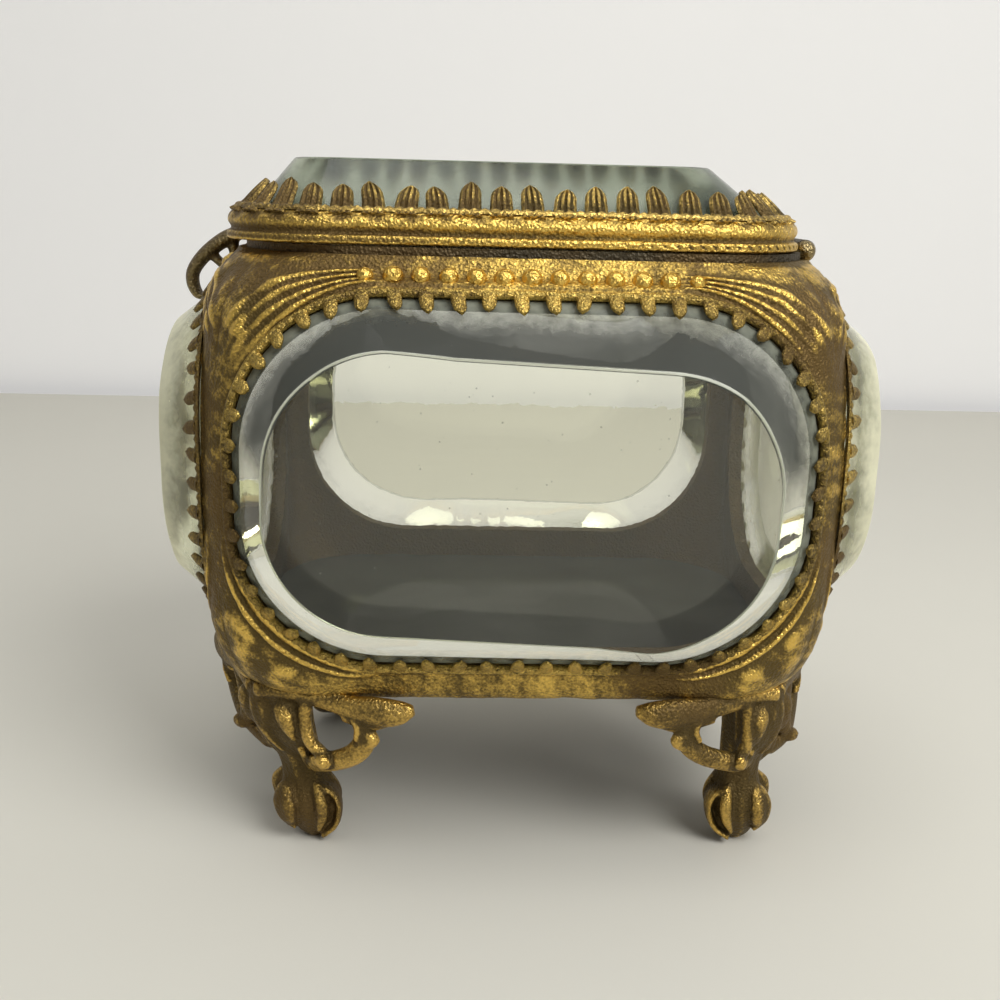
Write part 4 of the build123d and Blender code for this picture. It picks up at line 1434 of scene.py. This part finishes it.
@dataclass(frozen=True)
class Foot:
    """One cast foot in its corner's frame: X and Y run inward from the corner of the body, Z up.

    Forms on the front wing are repeated on the side wing, mirrored about the corner's diagonal.
    squeeze draws a wing's forms towards the corner, as this casting has been bent.
    """

    name: str
    sign_x: int
    sign_y: int
    squeeze: float = 0.0
    shorten: float = 0.0
    toe_lean: float = 1.8 * MM
    top: float = 21.3 * MM
    front_plane: tuple[float, float] = (2.9 * MM, 0.16)
    side_plane: tuple[float, float] = (2.7 * MM, 0.30)
    voxel: float = 0.22 * MM

    def world(self, local: Array) -> Array:
        """World points: the toe leans towards the hinge, and the corner's frame is mirrored into place.

        Args:
            local: points in the corner's frame.

        Returns:
            World points.
        """
        drop = np.clip(1 - local[..., 2] / self.top, 0, 1)
        x = self.sign_x * (BODY.half_length - local[..., 0]) + self.toe_lean * drop
        y = self.sign_y * (BODY.half_depth - local[..., 1])
        return np.stack([x, y, local[..., 2]], axis=-1)

    def form(self, stroke: Stroke, front: bool) -> Surface:
        """One stroke in the plane of a wing, which starts inside the corner and splays outward."""
        start, splay = self.front_plane if front else self.side_plane
        path = curve_through(np.array(stroke.points) * MM, 22)
        squeezed = self.squeeze * np.exp(-(((path[:, 0] - 13 * MM) / (4.8 * MM)) ** 2))
        path[:, 0] -= squeezed * smooth_step(8 * MM, 12 * MM, path[:, 1])
        path[:, 0] -= self.shorten * smooth_step(16 * MM, 23 * MM, path[:, 0])
        share = np.linspace(0, 1, len(stroke.widths))
        widths = np.interp(np.linspace(0, 1, 22), share, stroke.widths) * MM
        ahead = np.gradient(path[:, :2], axis=0)
        ahead /= np.linalg.norm(ahead, axis=1)[:, None]
        across = np.stack([-ahead[:, 1], ahead[:, 0], np.zeros(22)], axis=-1)
        thick = stroke.thick * MM * np.sqrt(np.clip(widths / widths.max(), 0.2, 1))
        run, z, lift = np.moveaxis(swept(path, across, np.array([0.0, 0.0, 1.0]), widths, thick, 20).points, -1, 0)
        depth = start - splay * (run - 8 * MM) - lift
        pair = (run, depth) if front else (depth, run)
        return Surface(self.world(np.stack([*pair, z], axis=-1)))

    def leg(self) -> Surface:
        """Column, ankle and toe as a loft down the corner's diagonal.

        A section is an ellipse across the diagonal, a little fluted by a cosine of the angle.
        """
        knots = np.array(
            [
                (22.2, 6.9, 3.2, 2.8), (20.5, 7.2, 3.4, 3.2), (18.0, 7.2, 3.5, 3.3), (15.5, 7.4, 3.3, 3.1),
                (13.2, 7.9, 2.9, 2.7), (11.0, 8.3, 2.5, 2.4), (9.4, 8.5, 2.45, 2.4), (7.8, 8.7, 2.9, 2.7),
                (5.8, 8.9, 3.5, 3.3), (3.8, 9.0, 3.4, 3.2), (2.2, 9.1, 2.9, 2.7), (0.9, 9.15, 2.2, 2.1),
                (0.2, 9.2, 1.6, 1.6), (0.0, 9.2, 1.1, 1.1),
            ]
        )
        z, place, across, deep = curve_through(knots * MM, 64).T
        turn = np.linspace(0, 2 * math.pi, 72, endpoint=False)
        swell = 1 + 0.035 * np.cos(7 * turn - 0.6)
        side = across[:, None] * np.cos(turn) * swell
        out = deep[:, None] * np.sin(turn) * swell
        u = place[:, None] + (side - out) * math.sqrt(0.5)
        v = place[:, None] + (-side - out) * math.sqrt(0.5)
        height = np.maximum(z, 0)[:, None] * np.ones_like(u)
        return Surface(self.world(np.stack([u, v, height], axis=-1)))

    def build(self, material: bpy.types.Material) -> None:
        """Melts the leg and all forms into one casting."""
        piece = Piece(self.name.replace("foot", "cast_foot"))
        piece.add(self.leg())
        for front in (True, False):
            for stroke in WING + COLUMN + TOE:
                piece.add(self.form(stroke, front))
        piece.build(material, CASKET, "gilt_brass", [self.name], voxel=self.voxel)


FEET = (
    Foot("foot_front_left", -1, -1),
    Foot("foot_front_right", 1, -1, squeeze=2.6 * MM, shorten=1.2 * MM),
    Foot("foot_rear_left", -1, 1),
    Foot("foot_rear_right", 1, 1, squeeze=1.2 * MM),
)


# ---------------------------------------------------------------- the thumb-piece


@dataclass(frozen=True)
class ThumbPiece:
    """Openwork lift at the lid's left end: a bowed rim and two struts towards the body."""

    lid_left: float = -33.4 * MM
    top: float = 71.9 * MM

    def bar(self, points: Sequence[Point], deep: Sequence[float], wide: float) -> Surface:
        """A bar through points (left of the lid's edge, below the lip's top) in millimetres.

        Args:
            points: the bar's centre line.
            deep: half thickness in the lift's plane at each point.
            wide: half width along the lid's edge.

        Returns:
            The closed bar.
        """
        path = curve_through(np.array(points) * MM, 24)
        centre = np.stack([self.lid_left - path[:, 0], np.zeros(24), self.top - path[:, 1]], axis=-1)
        ahead = np.gradient(centre, axis=0)
        ahead /= np.linalg.norm(ahead, axis=1)[:, None]
        normal = np.stack([-ahead[:, 2], np.zeros(24), ahead[:, 0]], axis=-1)
        half = np.interp(np.linspace(0, 1, 24), np.linspace(0, 1, len(deep)), deep) * MM
        return swept(centre, np.array([0.0, 1.0, 0.0]), normal, np.full(24, wide * MM), half, 18)

    def build(self, material: bpy.types.Material) -> None:
        """Melts the rim and the struts into one casting."""
        piece = Piece("thumb_lift")
        rim = [(0.2, 0.6), (2.5, 1.6), (4.9, 3.4), (6.45, 5.4), (6.6, 7.0), (6.1, 8.2), (5.5, 8.65)]
        piece.add(self.bar(rim, (0.85, 0.95, 0.88, 0.8, 0.75, 0.6, 0.35), 1.5))
        piece.add(self.bar([(1.6, 0.9), (1.6, 2.2), (1.45, 3.3)], (0.8, 0.7, 0.6), 1.0))
        piece.add(self.bar([(4.3, 3.4), (3.2, 4.4), (2.2, 5.4)], (0.6, 0.55, 0.5), 0.9))
        piece.add(self.bar([(1.45, 3.1), (1.7, 4.3), (2.2, 5.5)], (0.5, 0.45, 0.5), 0.8))
        piece.build(material, LID, "dark_brass", ["thumb_piece"], voxel=0.15 * MM)


# ---------------------------------------------------------------- the hinge


@dataclass(frozen=True)
class HingePin:
    """Pin of the hinge with a ball and a turned collar at each end."""

    x: float = 32.1 * MM
    z: float = 70.9 * MM
    radius: float = 0.62 * MM

    def build(self, material: bpy.types.Material) -> None:
        """Turns a profile of (distance along the pin, radius) about the pin's line."""
        low, high = (corner[1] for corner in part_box("hinge_pin"))
        half = (high - low) / 2
        ball = 1.19 * MM
        angle = np.linspace(0.03, 2.45, 16)
        cap = np.stack([half - ball + ball * np.cos(angle), ball * np.sin(angle)], axis=-1)
        neck = np.array([(half - 2.15 * MM, 0.80 * MM), (half - 2.3 * MM, 1.0 * MM), (half - 2.5 * MM, 0.80 * MM)])
        end = np.vstack([cap, neck, [(half - 2.6 * MM, self.radius), (half * 0.5, self.radius)]])
        profile = np.vstack([end, end[::-1] * (-1, 1)])
        turn = np.linspace(0, 2 * math.pi, 28, endpoint=False)
        x = self.x + profile[:, 1:] * np.cos(turn)
        z = self.z + profile[:, 1:] * np.sin(turn)
        y = (low + high) / 2 + profile[:, :1] * np.ones(28)
        piece = Piece("turned_pin")
        piece.add(Surface(np.stack([x, y, z], axis=-1)))
        piece.build(material, CASKET, "gilt_brass", ["hinge_pin"])


# ---------------------------------------------------------------- stage, light and camera


@dataclass(frozen=True)
class Studio:
    """Pale table against a pale wall, soft light from above, and the photograph's camera."""

    table_depth: float = 0.285
    table_colour: Colour = (0.70, 0.68, 0.60)
    wall_colour: Colour = (0.76, 0.75, 0.73)
    camera_at: tuple[float, float, float] = (-0.007195, -0.142931, 0.076317)
    yaw_degrees: float = 2.160
    pitch_degrees: float = 14.976
    roll_degrees: float = 1.463
    focal_pixels: float = 1142.6
    frame_pixels: float = 1000.0

    def plane(
        self, name: str, corners: Sequence[tuple[float, float, float]], colour: Colour, glow: float = 0.0
    ) -> None:
        """Adds one flat backdrop with a matt finish."""
        mesh = bpy.data.meshes.new(name)
        mesh.from_pydata(corners, [], [(0, 1, 2, 3)])
        nodes = Nodes(f"{name}_paint")
        shade = nodes.noise(0.05, 2.0) - 0.5
        low = tuple(c * 0.97 for c in colour)
        paint = {"Base Color": nodes.mix(shade + 0.5, low, colour), "Roughness": 0.8}
        mesh.materials.append(
            nodes.finish({**paint, "Emission Color": (*colour, 1.0), "Emission Strength": glow})
        )
        made = bpy.data.objects.new(name, mesh)
        bpy.context.scene.collection.objects.link(made)

    def lamp(self, name: str, at: tuple[float, float, float], aim: tuple[float, float, float], size: float, power: float) -> None:
        """Adds a square area lamp that faces a point."""
        light = bpy.data.lights.new(name, "AREA")
        light.size = size
        light.energy = power
        made = bpy.data.objects.new(name, light)
        direction = Matrix.Translation(at).to_translation() - Matrix.Translation(aim).to_translation()
        made.location = at
        made.rotation_mode = "QUATERNION"
        made.rotation_quaternion = direction.to_track_quat("Z", "Y")
        bpy.context.scene.collection.objects.link(made)

    def camera(self) -> None:
        """Adds the camera: it looks along its yaw and pitch, and rolls about that line."""
        yaw, pitch, roll = (math.radians(a) for a in (self.yaw_degrees, self.pitch_degrees, self.roll_degrees))
        ahead = np.array([math.sin(yaw) * math.cos(pitch), math.cos(yaw) * math.cos(pitch), -math.sin(pitch)])
        right = np.cross(ahead, [0.0, 0.0, 1.0])
        right /= np.linalg.norm(right)
        up = np.cross(right, ahead)
        rolled_right = math.cos(roll) * right + math.sin(roll) * up
        rolled_up = -math.sin(roll) * right + math.cos(roll) * up
        data = bpy.data.cameras.new("camera")
        data.sensor_width = 36.0
        data.lens = self.focal_pixels / self.frame_pixels * data.sensor_width
        data.clip_start = 0.005
        made = bpy.data.objects.new("camera", data)
        turn = Matrix([(*row,) for row in np.stack([rolled_right, rolled_up, -ahead], axis=1)])
        made.matrix_world = Matrix.Translation(self.camera_at) @ turn.to_4x4()
        bpy.context.scene.collection.objects.link(made)
        bpy.context.scene.camera = made

    def room(self) -> None:
        """Surroundings: dim round the horizon and pale overhead, by the height of the direction."""
        world = bpy.data.worlds.new("room")
        world.use_nodes = True
        tree = world.node_tree
        tree.nodes.clear()
        coords = tree.nodes.new("ShaderNodeTexCoord")
        split = tree.nodes.new("ShaderNodeSeparateXYZ")
        ramp = tree.nodes.new("ShaderNodeMapRange")
        back = tree.nodes.new("ShaderNodeBackground")
        out = tree.nodes.new("ShaderNodeOutputWorld")
        ramp.interpolation_type = "SMOOTHSTEP"
        ramp.inputs["From Min"].default_value = 0.05
        ramp.inputs["From Max"].default_value = 0.85
        ramp.inputs["To Min"].default_value = 0.36
        ramp.inputs["To Max"].default_value = 0.55
        tree.links.new(coords.outputs["Generated"], split.inputs["Vector"])
        tree.links.new(split.outputs["Z"], ramp.inputs["Value"])
        front = tree.nodes.new("ShaderNodeMapRange")
        front.interpolation_type = "SMOOTHSTEP"
        front.inputs["From Min"].default_value = -0.95
        front.inputs["From Max"].default_value = -0.05
        front.inputs["To Min"].default_value = 0.10
        front.inputs["To Max"].default_value = 1.0
        both = tree.nodes.new("ShaderNodeMath")
        both.operation = "MULTIPLY"
        tree.links.new(split.outputs["Y"], front.inputs["Value"])
        tree.links.new(ramp.outputs["Result"], both.inputs[0])
        tree.links.new(front.outputs["Result"], both.inputs[1])
        tree.links.new(both.outputs["Value"], back.inputs["Strength"])
        tree.links.new(back.outputs["Background"], out.inputs["Surface"])
        back.inputs["Color"].default_value = (0.97, 0.98, 1.0, 1.0)
        bpy.context.scene.world = world

    def build(self) -> None:
        """Makes the table, the wall, the lamps, the room and the camera."""
        half, front, high, back = 1.6, -1.2, 1.2, self.table_depth
        self.plane("table", [(-half, front, 0), (half, front, 0), (half, back, 0), (-half, back, 0)], self.table_colour)
        self.plane(
            "wall",
            [(-half, back + 0.01, -0.3), (half, back + 0.01, -0.3), (half, back + 0.01, high), (-half, back + 0.01, high)],
            self.wall_colour,
            glow=0.35,
        )
        self.lamp("key", (0.26, -0.33, 0.40), (0.0, 0.0, 0.03), 0.30, 2.2)
        self.lamp("top", (-0.06, -0.12, 0.42), (0.0, 0.0, 0.07), 0.22, 0.32)
        self.room()
        bpy.context.scene.view_settings.view_transform = "Standard"
        self.camera()


def dress_nodes(materials: dict[str, bpy.types.Material]) -> None:
    """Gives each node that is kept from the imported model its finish."""
    finish_of = {
        "rim_collar": "dark", "base_frame": "dark", "foot_screws": "dark", "body_hinge_leaf": "dark",
        "lid_hinge_leaf": "dark", "base_glass": "floor",
    }
    for name, finish in finish_of.items():
        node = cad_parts[name]
        node.data.materials.clear()
        node.data.materials.append(materials[finish])
        log.info("%s: finish %s", name, finish)


def main() -> None:
    """Builds every sub-assembly in order."""
    logging.basicConfig(level=logging.INFO, format="%(message)s")
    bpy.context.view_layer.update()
    materials = {
        "gilt": GiltBrass("gilt_brass").material(),
        "claw": GiltBrass(
            "claw_brass", kept=-1.02, gold=(0.66, 0.46, 0.12), shade=(0.07, 0.049, 0.016), grain=0.20 * MM
        ).material(),
        "lid_claw": GiltBrass(
            "lid_claw_brass", kept=-0.82, gold=(0.74, 0.51, 0.14), shade=(0.10, 0.07, 0.022), painted_top_light=0.0
        ).material(),
        "dark": GiltBrass("dark_brass", kept=-0.1, gold=(0.30, 0.23, 0.11), shade=(0.08, 0.065, 0.04)).material(),
        # the front pane carries painted shade: a dark film over its upper bevel
        "front_glass": CutGlass(
            "front_glass", film=0.008, edge_cover=0.60, painted_bevel_shade=1.0, cover_colour=(0.44, 0.46, 0.36)
        ).material(),
        "glass": CutGlass("pane_glass").material(),
        "end_glass": CutGlass(
            "end_glass", cover_colour=(0.92, 0.90, 0.66), film=0.14, edge_cover=0.62, rough=0.08
        ).material(),
        "lid_glass": CutGlass(
            "lid_glass", cast=(0.50, 0.58, 0.40), depth=40.0, film=0.30, rough=0.16, cover_colour=(0.24, 0.28, 0.21)
        ).material(),
        # floor: the near-black tint and the dark matt cover over the whole pane are painted shade for the shadowed
        # table seen through it
        "floor": CutGlass(
            "floor_glass", tint=(0.08, 0.088, 0.08), even_painted_shade=0.72, film=0.25, edge_cover=0.0,
            cover_colour=(0.075, 0.077, 0.066),
        ).material(),
        "foot": GiltBrass("foot_brass", kept=-0.74, gold=(0.72, 0.47, 0.12), shade=(0.105, 0.070, 0.022)).material(),
    }
    dress_nodes(materials)
    for side in SIDES:
        window = Window(side)
        SideFrame(window).build(materials["gilt"])
        pane = {"front": "front_glass", "rear": "glass"}.get(side.name, "end_glass")
        Glazing(window).build(materials["claw"], materials[pane])
    LidDressing().build(materials["gilt"], materials["lid_claw"], materials["lid_glass"])
    for foot in FEET:
        foot.build(materials["foot"])
    ThumbPiece().build(materials["dark"])
    HingePin().build(materials["dark"])
    Studio().build()


if __name__ == "__main__":
    main()
